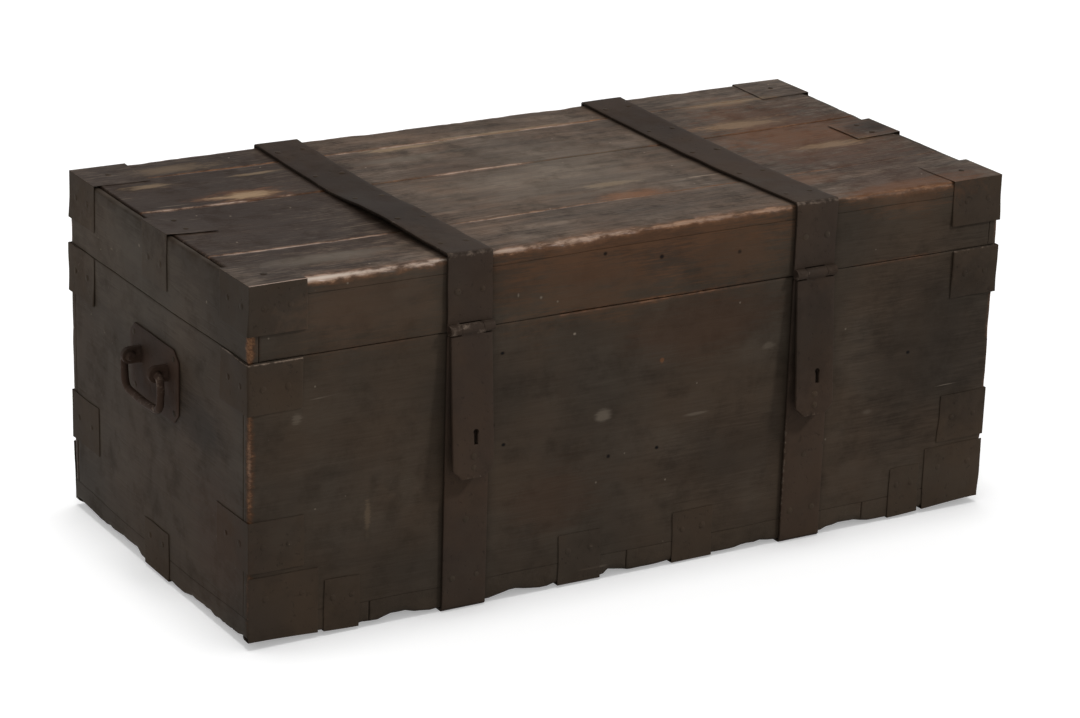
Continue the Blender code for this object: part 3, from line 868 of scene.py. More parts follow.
class Bench:
    """Places and joins the nodes of one node tree."""

    def __init__(self, tree: bpy.types.NodeTree) -> None:
        """Keeps the tree that the nodes go into."""
        self.tree = tree

    def node(self, kind: str, inputs: dict[Any, Any] | None = None, **options: Any) -> bpy.types.Node:
        """Adds a node.

        Args:
            kind: The type of the node.
            inputs: Values or sockets, by the input's name or number.
            **options: Options of the node itself.

        Returns:
            The node.
        """
        made = self.tree.nodes.new(kind)
        for option, value in options.items():
            setattr(made, option, value)
        self.feed_all(made, inputs or {})
        return made

    def feed(self, socket: bpy.types.NodeSocket, value: Any) -> None:
        """Links a socket to an input, or writes a plain value into it.

        Args:
            socket: The input.
            value: A socket, a number, a colour or a vector.
        """
        if isinstance(value, bpy.types.NodeSocket):
            self.tree.links.new(value, socket)
        elif socket.type == "RGBA":
            socket.default_value = (*value, 1)
        else:
            socket.default_value = value

    def feed_all(self, node: bpy.types.Node, inputs: dict[Any, Any]) -> None:
        """Links or sets several inputs of a node, by their names or numbers."""
        for key, value in inputs.items():
            self.feed(node.inputs[key], value)

    def math(self, operation: str, first: Any, second: Any) -> bpy.types.NodeSocket:
        """The result of a sum on two numbers."""
        return self.node("ShaderNodeMath", {0: first, 1: second}, operation=operation).outputs[0]

    def times(self, first: Any, second: Any) -> bpy.types.NodeSocket:
        """The product of two numbers."""
        return self.math("MULTIPLY", first, second)

    def vector(self, operation: str, first: Any, second: Any) -> bpy.types.NodeSocket:
        """The result of a sum on two vectors."""
        return self.node("ShaderNodeVectorMath", {0: first, 1: second}, operation=operation).outputs[0]

    def blend(self, share: Any, first: Any, second: Any) -> bpy.types.NodeSocket:
        """A mix of two colours, where the share is how much of the second shows."""
        inputs = {0: share, 6: first, 7: second}
        return self.node("ShaderNodeMix", inputs, data_type="RGBA").outputs[2]

    def layered(self, colour: Any, *layers: tuple[Any, float, Any]) -> bpy.types.NodeSocket:
        """Lays colours over a colour.

        Args:
            colour: The lowest colour.
            *layers: For each layer its mask, its strength and its colour.

        Returns:
            The last colour's socket.
        """
        for mask, strength, tint in layers:
            colour = self.blend(self.times(mask, strength), colour, tint)
        return colour

    def ramp(
        self, value: Any, low: float, high: float, start: float = 0.0, end: float = 1.0
    ) -> bpy.types.NodeSocket:
        """A smooth step of a number, from start up to low to end from high on."""
        inputs = {0: value, 1: low, 2: high, 3: start, 4: end}
        return self.node("ShaderNodeMapRange", inputs, interpolation_type="SMOOTHSTEP").outputs[0]

    def noise(
        self, vector: Any, scale: Any, detail: float = 3.0, rough: float = 0.55
    ) -> bpy.types.NodeSocket:
        """Cloudy noise from 0 to 1, whose scale is its swells in a metre."""
        inputs = {"Vector": vector, "Scale": scale, "Detail": detail, "Roughness": rough}
        return self.node("ShaderNodeTexNoise", inputs).outputs[0]

    def attribute(self, name: str) -> bpy.types.NodeSocket:
        """A number that the mesh holds for each corner."""
        return self.node("ShaderNodeAttribute", attribute_name=name).outputs["Fac"]

    def effect(self, tree: bpy.types.NodeTree, inputs: dict[str, Any]) -> bpy.types.bpy_prop_collection:
        """The outputs of a shared effect, whose node group gets these inputs."""
        return self.node("ShaderNodeGroup", inputs, node_tree=tree).outputs


FLOAT, VECTOR = "NodeSocketFloat", "NodeSocketVector"


class Effects:
    """The effects that several finishes share, as node groups made once."""

    @staticmethod
    def started(
        name: str, inputs: dict[str, str], outputs: Sequence[str]
    ) -> tuple[Bench, bpy.types.Node, bpy.types.Node]:
        """Starts a node group whose outputs are all numbers.

        Args:
            name: The group's name.
            inputs: Socket types by name.
            outputs: The outputs' names.

        Returns:
            A bench on the group, its input node and its output node.
        """
        tree = bpy.data.node_groups.new(name, "ShaderNodeTree")
        for label, kind in inputs.items():
            tree.interface.new_socket(label, in_out="INPUT", socket_type=kind)
        for label in outputs:
            tree.interface.new_socket(label, in_out="OUTPUT", socket_type=FLOAT)
        bench = Bench(tree)
        return bench, bench.node("NodeGroupInput"), bench.node("NodeGroupOutput")

    @classmethod
    @cache
    def grain(cls) -> bpy.types.NodeTree:
        """Wood grain: broad streaks, fine fibres and their height, drawn out along one axis.

        Returns:
            The node group.
        """
        inputs = {"Vector": VECTOR, "Stretch": VECTOR}
        bench, given, result = cls.started("Wood grain", inputs, ("Streaks", "Fibres", "Height"))
        drawn = bench.vector("MULTIPLY", given.outputs["Vector"], given.outputs["Stretch"])
        streaks = bench.noise(drawn, 1.0, detail=6, rough=0.62)
        fibres = bench.noise(drawn, 5.5, detail=5, rough=0.66)
        checks = bench.ramp(bench.noise(drawn, 2.6, detail=3), 0.60, 0.67)
        height = bench.math("ADD", bench.times(streaks, 0.6), bench.times(fibres, 0.5))
        found = {
            "Streaks": bench.ramp(streaks, 0.3, 0.7),
            "Fibres": bench.ramp(fibres, 0.32, 0.68),
            "Height": bench.math("SUBTRACT", height, bench.times(checks, 0.5)),
        }
        bench.feed_all(result, found)
        return bench.tree

    @classmethod
    @cache
    def wear(cls) -> bpy.types.NodeTree:
        """Edge wear: a mesh's own wear broken up into flakes, and a softer stain round them.

        Returns:
            The node group.
        """
        inputs = {"Vector": VECTOR, "Wear": FLOAT, "Scale": FLOAT, "Raggedness": FLOAT}
        bench, given, result = cls.started("Edge wear", inputs, ("Flakes", "Stain"))
        cloud = bench.noise(given.outputs["Vector"], given.outputs["Scale"], detail=6, rough=0.7)
        lift = bench.times(bench.math("SUBTRACT", cloud, 0.5), given.outputs["Raggedness"])
        broken = bench.math("ADD", given.outputs["Wear"], lift)
        present = bench.ramp(given.outputs["Wear"], 0.02, 0.2)
        found = {
            "Flakes": bench.times(bench.ramp(broken, 0.34, 0.78), present),
            "Stain": bench.times(bench.ramp(broken, 0.02, 0.55), present),
        }
        bench.feed_all(result, found)
        return bench.tree

    @classmethod
    @cache
    def age(cls) -> bpy.types.NodeTree:
        """Age: slow drifts of colour, blotches, small pale specks and fine scratches.

        Returns:
            The node group.
        """
        outputs = ("Drift", "Bloom", "Blotches", "Specks", "Scratches")
        bench, given, result = cls.started("Age", {"Vector": VECTOR}, outputs)
        vector = given.outputs["Vector"]
        moved = bench.vector("ADD", vector, (3.1, 1.7, 5.3))
        cells = bench.node("ShaderNodeTexVoronoi", {"Vector": vector, "Scale": 46.0}).outputs
        lots = bench.node("ShaderNodeSeparateColor", {0: cells["Color"]}).outputs[0]
        chosen = bench.math("GREATER_THAN", lots, 0.86)
        slant = {"Vector": vector, "Rotation": (0.5, 0.8, 0.4), "Scale": (3.0, 70.0, 70.0)}
        lines = bench.noise(bench.node("ShaderNodeMapping", slant).outputs[0], 1.6, 2)
        few = bench.ramp(bench.noise(moved, 6.0, 2), 0.52, 0.7)
        found = {
            "Drift": bench.ramp(bench.noise(vector, 4.2, 4), 0.34, 0.66),
            "Bloom": bench.ramp(bench.noise(moved, 8.5, 5, 0.6), 0.42, 0.74),
            "Blotches": bench.ramp(bench.noise(moved, 24.0, 6, 0.68), 0.44, 0.72),
            "Specks": bench.times(bench.ramp(cells["Distance"], 0.09, 0.04), chosen),
            "Scratches": bench.times(bench.ramp(lines, 0.69, 0.74), few),
        }
        bench.feed_all(result, found)
        return bench.tree

    @classmethod
    @cache
    def patch(cls) -> bpy.types.NodeTree:
        """A patch with a ragged edge round one place.

        Returns:
            The node group.
        """
        inputs = dict.fromkeys(("Vector", "Middle", "Radii"), VECTOR)
        inputs |= dict.fromkeys(("Raggedness", "Cloud"), FLOAT)
        bench, given, result = cls.started("Patch", inputs, ("Mask",))
        offset = bench.vector("SUBTRACT", given.outputs["Vector"], given.outputs["Middle"])
        scaled = bench.vector("DIVIDE", offset, given.outputs["Radii"])
        far = bench.node("ShaderNodeVectorMath", {0: scaled}, operation="LENGTH").outputs["Value"]
        ragged = bench.math("SUBTRACT", given.outputs["Cloud"], 0.5)
        edge = bench.math("ADD", far, bench.times(ragged, given.outputs["Raggedness"]))
        bench.feed(result.inputs["Mask"], bench.ramp(edge, 1.0, 0.3))
        return bench.tree

    @classmethod
    @cache
    def pitting(cls) -> bpy.types.NodeTree:
        """Old iron: rust patches, pits and hammer marks.

        Returns:
            The node group.
        """
        bench, given, result = cls.started("Pitting", {"Vector": VECTOR}, ("Rust", "Pits", "Height"))
        vector = given.outputs["Vector"]
        pits = bench.ramp(bench.noise(vector, 150.0, 3, 0.6), 0.6, 0.72)
        cells = {"Vector": vector, "Scale": 62.0}
        blows = bench.node("ShaderNodeTexVoronoi", cells, feature="SMOOTH_F1").outputs["Distance"]
        height = bench.math("SUBTRACT", bench.times(blows, 0.5), pits)
        found = {
            "Rust": bench.ramp(bench.noise(vector, 17.0, 7, 0.65), 0.46, 0.7),
            "Pits": pits,
            "Height": bench.math("ADD", height, bench.noise(vector, 40.0, 5, 0.6)),
        }
        bench.feed_all(result, found)
        return bench.tree


# Finishes


class Tint(Enum):
    """What a single mark shows."""

    TAN = shown(154, 130, 102)
    ORANGE = shown(112, 72, 44)
    RUSSET = shown(88, 62, 43)
    PALE = shown(112, 102, 90)
    STAIN = shown(58, 40, 29)
    SOOT = shown(19, 15, 12)
    # Painted shade of small holes, which the mesh does not cut
    HOLE = shown(9, 7, 6)


@dataclass(frozen=True)
class Mark:
    """One rub, scuff, stain, painted hole shade or patch of painted sheen at a place on the trunk."""

    tint: Tint
    middle: Place
    radii: Place
    strength: float
    raggedness: float = 1.2


@dataclass(frozen=True)
class Finish:
    """A finish that makes one material."""

    name: str

    # How strongly the mesh's dirt and painted shade, beside the irons and on the straps' sides, darken the colour
    GRIME_STRENGTH = 0.75
    MARK_CLOUD = (60.0, 6, 0.7)

    def started(self, specular: float) -> tuple[Bench, bpy.types.Node, bpy.types.NodeSocket]:
        """Starts the material with its shader.

        Args:
            specular: How much the surface mirrors, where 0.5 is plain.

        Returns:
            A bench, the shader and the places that patterns are read at.
        """
        material = bpy.data.materials.new(self.name)
        material.use_nodes = True
        bench = Bench(material.node_tree)
        shader = material.node_tree.nodes["Principled BSDF"]
        shader.inputs["Specular IOR Level"].default_value = specular
        places = bench.node("ShaderNodeTexCoord").outputs["Object"]
        return bench, shader, places

    def bumped(
        self, bench: Bench, shader: bpy.types.Node, height: bpy.types.NodeSocket, depth: float
    ) -> None:
        """Feeds a height to the shader's normal, where 1 stands for the depth."""
        inputs = {"Height": height, "Strength": 1.0, "Distance": depth}
        bench.feed(shader.inputs["Normal"], bench.node("ShaderNodeBump", inputs).outputs[0])

    def soiled(self, bench: Bench, colour: Any, darkening: Colour) -> bpy.types.NodeSocket:
        """Lays the mesh's own dirt and painted shade, noted beside the irons and on the straps' sides, over a
        colour.
        """
        return bench.layered(colour, (bench.attribute("grime"), self.GRIME_STRENGTH, darkening))

    def marked(
        self,
        bench: Bench,
        colour: Any,
        places: bpy.types.NodeSocket,
        cloud: bpy.types.NodeSocket,
        marks: Iterable[Mark],
    ) -> bpy.types.NodeSocket:
        """Lays single marks over a colour.

        Args:
            bench: The material's bench.
            colour: The colour so far.
            places: The places that patterns are read at.
            cloud: What makes their edges ragged, from 0 to 1.
            marks: The marks.

        Returns:
            The colour with the marks.
        """
        for mark in marks:
            inputs = {
                "Vector": places,
                "Middle": mark.middle,
                "Radii": mark.radii,
                "Raggedness": mark.raggedness,
                "Cloud": cloud,
            }
            mask = bench.effect(Effects.patch(), inputs)["Mask"]
            colour = bench.layered(colour, (mask, mark.strength, mark.tint.value))
        return colour


@dataclass(frozen=True)
class WoodFinish(Finish):
    """Old wood under dark paint or polish, rubbed through to bare wood at its edges."""

    grain: Axis
    deep: Colour
    dark: Colour
    brown: Colour
    bloom: Colour
    bare: Colour
    bright: Colour
    pale: Colour
    # Pale colour of polished bare wood with a painted sheen in it, laid where the polish mask is high
    polished: Colour = shown(194, 178, 164)
    bloom_share: float = 0.5
    blotch_share: float = 0.42
    speck_share: float = 0.5
    scratch_share: float = 0.6
    streak_share: float = 0.2
    fibre_share: float = 0.04
    dull: float = 0.66
    rubbed: float = 0.45
    glossy: float = 0.28
    specular: float = 0.05
    relief: float = 0.00028
    across: float = 75.0
    along: float = 4.0
    flake_draw: float = 0.4
    flake_scale: float = 150.0
    raggedness: tuple[float, float] = (1.5, 0.9)
    flake_depth: float = 0.35
    stain_share: float = 0.5
    mark_draw: float = 0.3
    mark_fibre: float = 0.25
    unevenness: float = 0.12
    coat_weight: float = 0.35
    coat_roughness: float = 0.25
    marks: tuple[Mark, ...] = ()

    def drawn_out(
        self, bench: Bench, places: bpy.types.NodeSocket, share: float
    ) -> bpy.types.NodeSocket:
        """Places scaled along the grain by a share, which draws a pattern out along it."""
        return bench.vector("MULTIPLY", places, [share if axis == self.grain else 1.0 for axis in Axis])

    def material(self) -> bpy.types.Material:
        """Builds the material.

        Returns:
            The material.
        """
        bench, shader, places = self.started(self.specular)
        stretch = [self.along if axis == self.grain else self.across for axis in Axis]
        grain = bench.effect(Effects.grain(), {"Vector": places, "Stretch": stretch})
        age = bench.effect(Effects.age(), {"Vector": places})
        polish = bench.attribute("polish")
        wear_inputs = {
            "Vector": self.drawn_out(bench, places, self.flake_draw),
            "Wear": bench.attribute("wear"),
            "Scale": self.flake_scale,
            "Raggedness": bench.ramp(polish, 0.0, 1.0, *self.raggedness),
        }
        wear = bench.effect(Effects.wear(), wear_inputs)
        coat = bench.layered(
            bench.blend(age["Drift"], self.dark, self.brown),
            (age["Bloom"], self.bloom_share, self.bloom),
            (grain["Streaks"], self.streak_share, self.deep),
            (age["Blotches"], self.blotch_share, self.deep),
            (grain["Fibres"], self.fibre_share, self.pale),
        )
        cloud = bench.noise(self.drawn_out(bench, places, self.mark_draw), *self.MARK_CLOUD)
        mixed = {0: self.mark_fibre, 2: cloud, 3: grain["Fibres"]}
        cloud = bench.node("ShaderNodeMix", mixed).outputs[0]
        coat = self.marked(bench, coat, places, cloud, self.marks)
        bare = bench.blend(grain["Fibres"], self.bare, self.bright)
        # Painted highlight along with polish: polished bare wood is laid near-white, as a gloss highlight shows
        bare = bench.blend(polish, bare, self.polished)
        stained = bench.layered(coat, (wear["Stain"], self.stain_share, self.bare))
        colour = bench.layered(
            bench.blend(wear["Flakes"], stained, bare),
            (age["Scratches"], self.scratch_share, self.pale),
            (age["Specks"], self.speck_share, self.pale),
        )
        gloss = bench.ramp(wear["Stain"], 0.0, 1.0, self.dull, self.rubbed)
        gloss = bench.node("ShaderNodeMix", {0: polish, 2: gloss, 3: self.glossy}).outputs[0]
        uneven = bench.times(bench.math("SUBTRACT", age["Blotches"], 0.5), self.unevenness)
        fed = {
            "Base Color": self.soiled(bench, colour, self.deep),
            "Roughness": bench.math("ADD", gloss, uneven),
            "Coat Weight": bench.times(polish, self.coat_weight),
            "Coat Roughness": self.coat_roughness,
        }
        bench.feed_all(shader, fed)
        height = bench.math("SUBTRACT", grain["Height"], bench.times(wear["Flakes"], self.flake_depth))
        self.bumped(bench, shader, height, self.relief)
        return bpy.data.materials[self.name]


@dataclass(frozen=True)
class IronFinish(Finish):
    """Blackened or rusty forged iron, rubbed brighter along its edges."""

    deep: Colour
    dark: Colour
    rust: Colour
    bloom: Colour
    rubbed: Colour
    bloom_share: float = 0.5
    blotch_share: float = 0.3
    rust_share: float = 0.35
    metallic: float = 0.05
    rubbed_metallic: float = 0.4
    dull: float = 0.68
    worn: float = 0.45
    specular: float = 0.05
    relief: float = 0.0003
    flake_scale: float = 140.0
    raggedness: float = 1.5
    flake_share: float = 0.8
    pit_share: float = 0.4
    scratch_share: float = 0.35
    rust_dulling: float = 0.25
    marks: tuple[Mark, ...] = ()

    def material(self) -> bpy.types.Material:
        """Builds the material.

        Returns:
            The material.
        """
        bench, shader, places = self.started(self.specular)
        pitting = bench.effect(Effects.pitting(), {"Vector": places})
        age = bench.effect(Effects.age(), {"Vector": places})
        wear_inputs = {
            "Vector": places,
            "Wear": bench.attribute("wear"),
            "Scale": self.flake_scale,
            "Raggedness": self.raggedness,
        }
        wear = bench.effect(Effects.wear(), wear_inputs)
        colour = bench.layered(
            bench.blend(age["Drift"], self.dark, self.rust),
            (age["Bloom"], self.bloom_share, self.bloom),
            (age["Blotches"], self.blotch_share, self.deep),
            (pitting["Rust"], self.rust_share, self.rust),
            (pitting["Pits"], self.pit_share, self.deep),
        )
        cloud = bench.noise(places, *self.MARK_CLOUD)
        colour = bench.layered(
            self.marked(bench, colour, places, cloud, self.marks),
            (wear["Flakes"], self.flake_share, self.rubbed),
            (age["Scratches"], self.scratch_share, self.rubbed),
        )
        flakes = bench.times(wear["Flakes"], self.flake_share)
        gloss = bench.ramp(flakes, 0.0, 1.0, self.dull, self.worn)
        rust = bench.times(bench.times(pitting["Rust"], self.rust_share), self.rust_dulling)
        fed = {
            "Base Color": self.soiled(bench, colour, self.deep),
            "Metallic": bench.ramp(flakes, 0.0, 1.0, self.metallic, self.rubbed_metallic),
            "Roughness": bench.math("ADD", gloss, rust),
        }
        bench.feed_all(shader, fed)
        self.bumped(bench, shader, pitting["Height"], self.relief)
        return bpy.data.materials[self.name]


FRONT_MARKS = (
    Mark(Tint.PALE, (-0.058, FRONT_Y, 0.2330), (0.016, 0.03, 0.012), 0.40, 1.0),
    Mark(Tint.PALE, (-0.106, FRONT_Y, 0.3530), (0.003, 0.02, 0.0025), 0.9, 0.4),
    Mark(Tint.PALE, (0.088, FRONT_Y, 0.2120), (0.026, 0.02, 0.003), 0.30, 1.4),
    Mark(Tint.PALE, (0.199, FRONT_Y, 0.2910), (0.014, 0.02, 0.006), 0.22, 2.2),
    Mark(Tint.PALE, (-0.506, FRONT_Y, 0.3010), (0.010, 0.02, 0.012), 0.25, 2.2),
    Mark(Tint.ORANGE, (0.030, FRONT_Y, 0.2960), (0.004, 0.02, 0.005), 0.55, 1.2),
    Mark(Tint.TAN, (-0.405, FRONT_Y, 0.1540), (0.005, 0.02, 0.030), 0.10, 2.2),
    Mark(Tint.STAIN, (-0.130, FRONT_Y, 0.1260), (0.090, 0.02, 0.060), 0.30, 1.4),
    Mark(Tint.PALE, (0.370, FRONT_Y, 0.1680), (0.012, 0.02, 0.005), 0.18, 2.0),
    Mark(Tint.STAIN, (0.090, FRONT_Y, 0.3380), (0.160, 0.03, 0.060), 0.45, 1.0),
    Mark(Tint.SOOT, (0.150, FRONT_Y, 0.1480), (0.160, 0.03, 0.080), 0.30, 1.2),
    Mark(Tint.SOOT, (0.470, FRONT_Y, 0.2500), (0.170, 0.03, 0.200), 0.36, 1.4),
    # Painted shade: near-black spots for holes that the wall's mesh does not have
    Mark(Tint.HOLE, (-0.213, FRONT_Y, 0.3430), (0.0045, 0.02, 0.0035), 1.0, 0.3),
    Mark(Tint.HOLE, (-0.208, FRONT_Y, 0.2170), (0.0045, 0.02, 0.0035), 1.0, 0.3),
    Mark(Tint.HOLE, (0.027, FRONT_Y, 0.1740), (0.0045, 0.02, 0.0035), 1.0, 0.3),
    Mark(Tint.HOLE, (-0.048, FRONT_Y, 0.1740), (0.0040, 0.02, 0.0035), 0.9, 0.3),
    Mark(Tint.HOLE, (0.433, FRONT_Y, 0.2450), (0.0045, 0.02, 0.0035), 1.0, 0.3),
    Mark(Tint.HOLE, (-0.225, FRONT_Y, 0.2460), (0.0045, 0.02, 0.0040), 0.9, 0.3),
)
RAIL_MARKS = (
    Mark(Tint.STAIN, (-0.030, FRONT_Y, 0.4680), (0.330, 0.03, 0.085), 0.50, 1.0),
    Mark(Tint.ORANGE, (0.000, FRONT_Y, 0.4780), (0.290, 0.03, 0.050), 0.14, 2.2),
    Mark(Tint.STAIN, (-0.440, FRONT_Y, 0.4480), (0.090, 0.03, 0.070), 0.20, 1.4),
    Mark(Tint.PALE, (-0.420, FRONT_Y, 0.4380), (0.140, 0.03, 0.060), 0.06, 1.8),
    Mark(Tint.RUSSET, (-0.400, FRONT_Y, 0.4380), (0.150, 0.03, 0.080), 0.15, 2.2),
    Mark(Tint.RUSSET, (-0.090, FRONT_Y, 0.4300), (0.160, 0.03, 0.080), 0.28, 2.4),
    Mark(Tint.RUSSET, (0.130, FRONT_Y, 0.4400), (0.140, 0.03, 0.070), 0.28, 2.4),
    # Painted shade: near-black spots for holes in the rail that the mesh does not have
    Mark(Tint.HOLE, (-0.064, FRONT_Y, 0.4560), (0.0045, 0.02, 0.0040), 0.9, 0.4),
    Mark(Tint.HOLE, (0.023, FRONT_Y, 0.4400), (0.0050, 0.02, 0.0045), 0.9, 0.4),
    Mark(Tint.HOLE, (0.145, FRONT_Y, 0.4300), (0.0045, 0.02, 0.0040), 0.7, 0.4),
    Mark(Tint.ORANGE, (0.420, FRONT_Y, 0.4780), (0.130, 0.03, 0.040), 0.16, 2.2),
    Mark(Tint.PALE, (-0.158, FRONT_Y, 0.4100), (0.003, 0.02, 0.003), 0.60, 0.8),
    Mark(Tint.PALE, (-0.192, FRONT_Y, 0.4180), (0.002, 0.02, 0.004), 0.50, 0.8),
)
END_MARKS = (
    Mark(Tint.PALE, (END_X, 0.060, 0.4000), (0.03, 0.260, 0.110), 0.13, 1.8),
    Mark(Tint.SOOT, (END_X, -0.010, 0.2880), (0.03, 0.105, 0.075), 0.75, 1.0),
    Mark(Tint.SOOT, (END_X, -0.130, 0.2580), (0.03, 0.110, 0.050), 0.45, 1.2),
    Mark(Tint.STAIN, (END_X, -0.190, 0.1180), (0.03, 0.110, 0.110), 0.40, 1.2),
    Mark(Tint.PALE, (END_X, 0.048, 0.4430), (0.02, 0.004, 0.003), 0.50, 0.8),
    Mark(Tint.PALE, (END_X, -0.155, 0.4280), (0.02, 0.003, 0.003), 0.50, 0.8),
)
TOP_MARKS = (
    # Painted sheen as well as tone: the left of the lid's top is darkened, where little of the lamp's sheen falls
    Mark(Tint.SOOT, (-0.460, 0.040, TOP_Z), (0.330, 0.430, 0.03), 0.86, 1.6),
    Mark(Tint.SOOT, (0.450, 0.030, TOP_Z), (0.230, 0.380, 0.03), 0.46, 2.2),
    # Painted sheen as well as tone: more darkening at the left of the lid's top
    Mark(Tint.STAIN, (-0.460, 0.040, TOP_Z), (0.360, 0.450, 0.03), 0.30, 2.0),
    Mark(Tint.ORANGE, (-0.400, 0.086, TOP_Z), (0.085, 0.030, 0.03), 0.50, 2.2),
    Mark(Tint.TAN, (-0.402, 0.086, TOP_Z), (0.060, 0.018, 0.03), 0.85, 1.8),
    Mark(Tint.ORANGE, (0.066, -0.126, TOP_Z), (0.075, 0.026, 0.03), 0.75, 2.0),
    Mark(Tint.TAN, (0.064, -0.070, TOP_Z), (0.060, 0.014, 0.03), 0.40, 2.2),
    Mark(Tint.TAN, (-0.505, 0.168, TOP_Z), (0.045, 0.012, 0.03), 0.40, 2.4),
    Mark(Tint.TAN, (-0.440, 0.228, TOP_Z), (0.080, 0.020, 0.03), 0.24, 2.6),
    Mark(Tint.TAN, (-0.345, 0.170, TOP_Z), (0.050, 0.006, 0.03), 0.40, 2.0),
    Mark(Tint.TAN, (-0.110, 0.195, TOP_Z), (0.090, 0.012, 0.03), 0.60, 2.0),
    Mark(Tint.PALE, (-0.130, 0.150, TOP_Z), (0.090, 0.016, 0.03), 0.40, 2.2),
    Mark(Tint.TAN, (0.060, 0.207, TOP_Z), (0.170, 0.008, 0.03), 0.45, 2.0),
    Mark(Tint.TAN, (0.435, 0.201, TOP_Z), (0.100, 0.015, 0.03), 0.38, 2.2),
    Mark(Tint.ORANGE, (0.430, 0.040, TOP_Z), (0.150, 0.190, 0.03), 0.46, 2.8),
    Mark(Tint.STAIN, (0.440, -0.100, TOP_Z), (0.140, 0.120, 0.03), 0.62, 2.6),
    Mark(Tint.SOOT, (0.470, 0.110, TOP_Z), (0.120, 0.080, 0.03), 0.45, 2.8),
    Mark(Tint.TAN, (0.390, 0.100, TOP_Z), (0.085, 0.026, 0.03), 0.34, 2.6),
    Mark(Tint.TAN, (0.450, -0.040, TOP_Z), (0.080, 0.016, 0.03), 0.34, 2.6),
    # Painted sheen as well as tone: a paler middle of the lid's top, where the lamp's sheen falls
    Mark(Tint.PALE, (0.000, 0.010, TOP_Z), (0.250, 0.170, 0.03), 0.34, 2.4),
    Mark(Tint.STAIN, (-0.100, 0.080, TOP_Z), (0.120, 0.060, 0.03), 0.45, 2.6),
    Mark(Tint.PALE, (-0.430, -0.205, TOP_Z), (0.120, 0.026, 0.03), 0.45, 2.0),
    Mark(Tint.ORANGE, (0.310, -0.170, TOP_Z), (0.080, 0.030, 0.03), 0.30, 2.2),
    Mark(Tint.STAIN, (0.430, -0.240, TOP_Z), (0.180, 0.070, 0.03), 0.72, 1.8),
    Mark(Tint.ORANGE, (0.420, -0.264, 0.4800), (0.170, 0.040, 0.03), 0.36, 2.0),
    Mark(Tint.SOOT, (0.545, 0.004, 0.4840), (0.050, 0.044, 0.03), 0.62, 1.0),
)
PAINT = {
    "deep": shown(30, 24, 18),
    "dark": shown(48, 41, 34),
    "brown": shown(59, 48, 38),
    "bloom": shown(65, 58, 50),
    "bare": shown(80, 53, 35),
    "bright": shown(118, 86, 62),
    "pale": shown(112, 102, 90),
}
LENGTHWISE_PAINT = WoodFinish("front paint", Axis.X, **PAINT, marks=FRONT_MARKS + RAIL_MARKS)
CROSSWISE_PAINT = WoodFinish("end paint", Axis.Y, **PAINT, marks=END_MARKS)
TOP_POLISH = WoodFinish(
    "lid top",
    Axis.X,
    deep=shown(34, 26, 20),
    dark=shown(58, 45, 35),
    brown=shown(92, 71, 55),
    bloom=shown(118, 103, 90),
    bare=shown(96, 66, 46),
    bright=shown(138, 104, 78),
    pale=shown(150, 134, 118),
    bloom_share=0.72,
    blotch_share=0.82,
    streak_share=0.8,
    fibre_share=0.16,
    dull=0.6,
    rubbed=0.42,
    specular=0.045,
    relief=0.0005,
    across=64.0,
    along=7.0,
    marks=TOP_MARKS,
)
EDGE_PAINT = replace(
    LENGTHWISE_PAINT, name="lid edge paint", bare=TOP_POLISH.bare, bright=TOP_POLISH.bright
)
BARE = {
    "deep": shown(48, 36, 27),
    "dark": shown(98, 76, 56),
    "brown": shown(118, 90, 64),
    "bloom": shown(84, 70, 56),
    "bare": shown(126, 96, 68),
    "bright": shown(146, 116, 84),
    "pale": shown(138, 122, 102),
}
LENGTHWISE_BARE = WoodFinish("bare wood lengthwise", Axis.X, **BARE, dull=0.75, speck_share=0.15)
CROSSWISE_BARE = WoodFinish("bare wood crosswise", Axis.Y, **BARE, dull=0.75, speck_share=0.15)
STRAP_MARKS = (
    Mark(Tint.SOOT, (-0.264, 0.020, 0.4865), (0.100, 0.300, 0.03), 0.42, 1.4),
    Mark(Tint.SOOT, (0.264, 0.150, 0.4865), (0.100, 0.130, 0.03), 0.25, 1.6),
    Mark(Tint.SOOT, (0.264, -0.285, 0.2900), (0.070, 0.03, 0.150), 0.30, 1.4),
)
STRAP_IRON = IronFinish(
    "black iron",
    deep=shown(34, 27, 22),
    dark=shown(49, 40, 34),
    rust=shown(57, 45, 36),
    bloom=shown(55, 47, 40),
    rubbed=shown(112, 98, 86),
    marks=STRAP_MARKS,
)
PLATE_IRON = IronFinish(
    "iron under paint",
    deep=shown(32, 26, 20),
    dark=shown(50, 42, 35),
    rust=shown(58, 47, 37),
    bloom=shown(60, 53, 45),
    rubbed=shown(106, 92, 80),
    marks=FRONT_MARKS + RAIL_MARKS + END_MARKS,
)
LID_IRON = replace(TOP_POLISH, name="polish over iron", relief=0.00015, specular=0.05)
RUSTY_IRON = IronFinish(
    "rusty iron",
    deep=shown(28, 23, 18),
    dark=shown(44, 36, 31),
    rust=shown(57, 43, 35),
    bloom=shown(53, 45, 39),
    rubbed=shown(108, 92, 80),
    rust_share=0.5,
    metallic=0.1,
    dull=0.7,
)
FINISHES = (
    LENGTHWISE_PAINT,
    CROSSWISE_PAINT,
    TOP_POLISH,
    EDGE_PAINT,
    LENGTHWISE_BARE,
    CROSSWISE_BARE,
    STRAP_IRON,
    PLATE_IRON,
    LID_IRON,
    RUSTY_IRON,
)


# Pieces


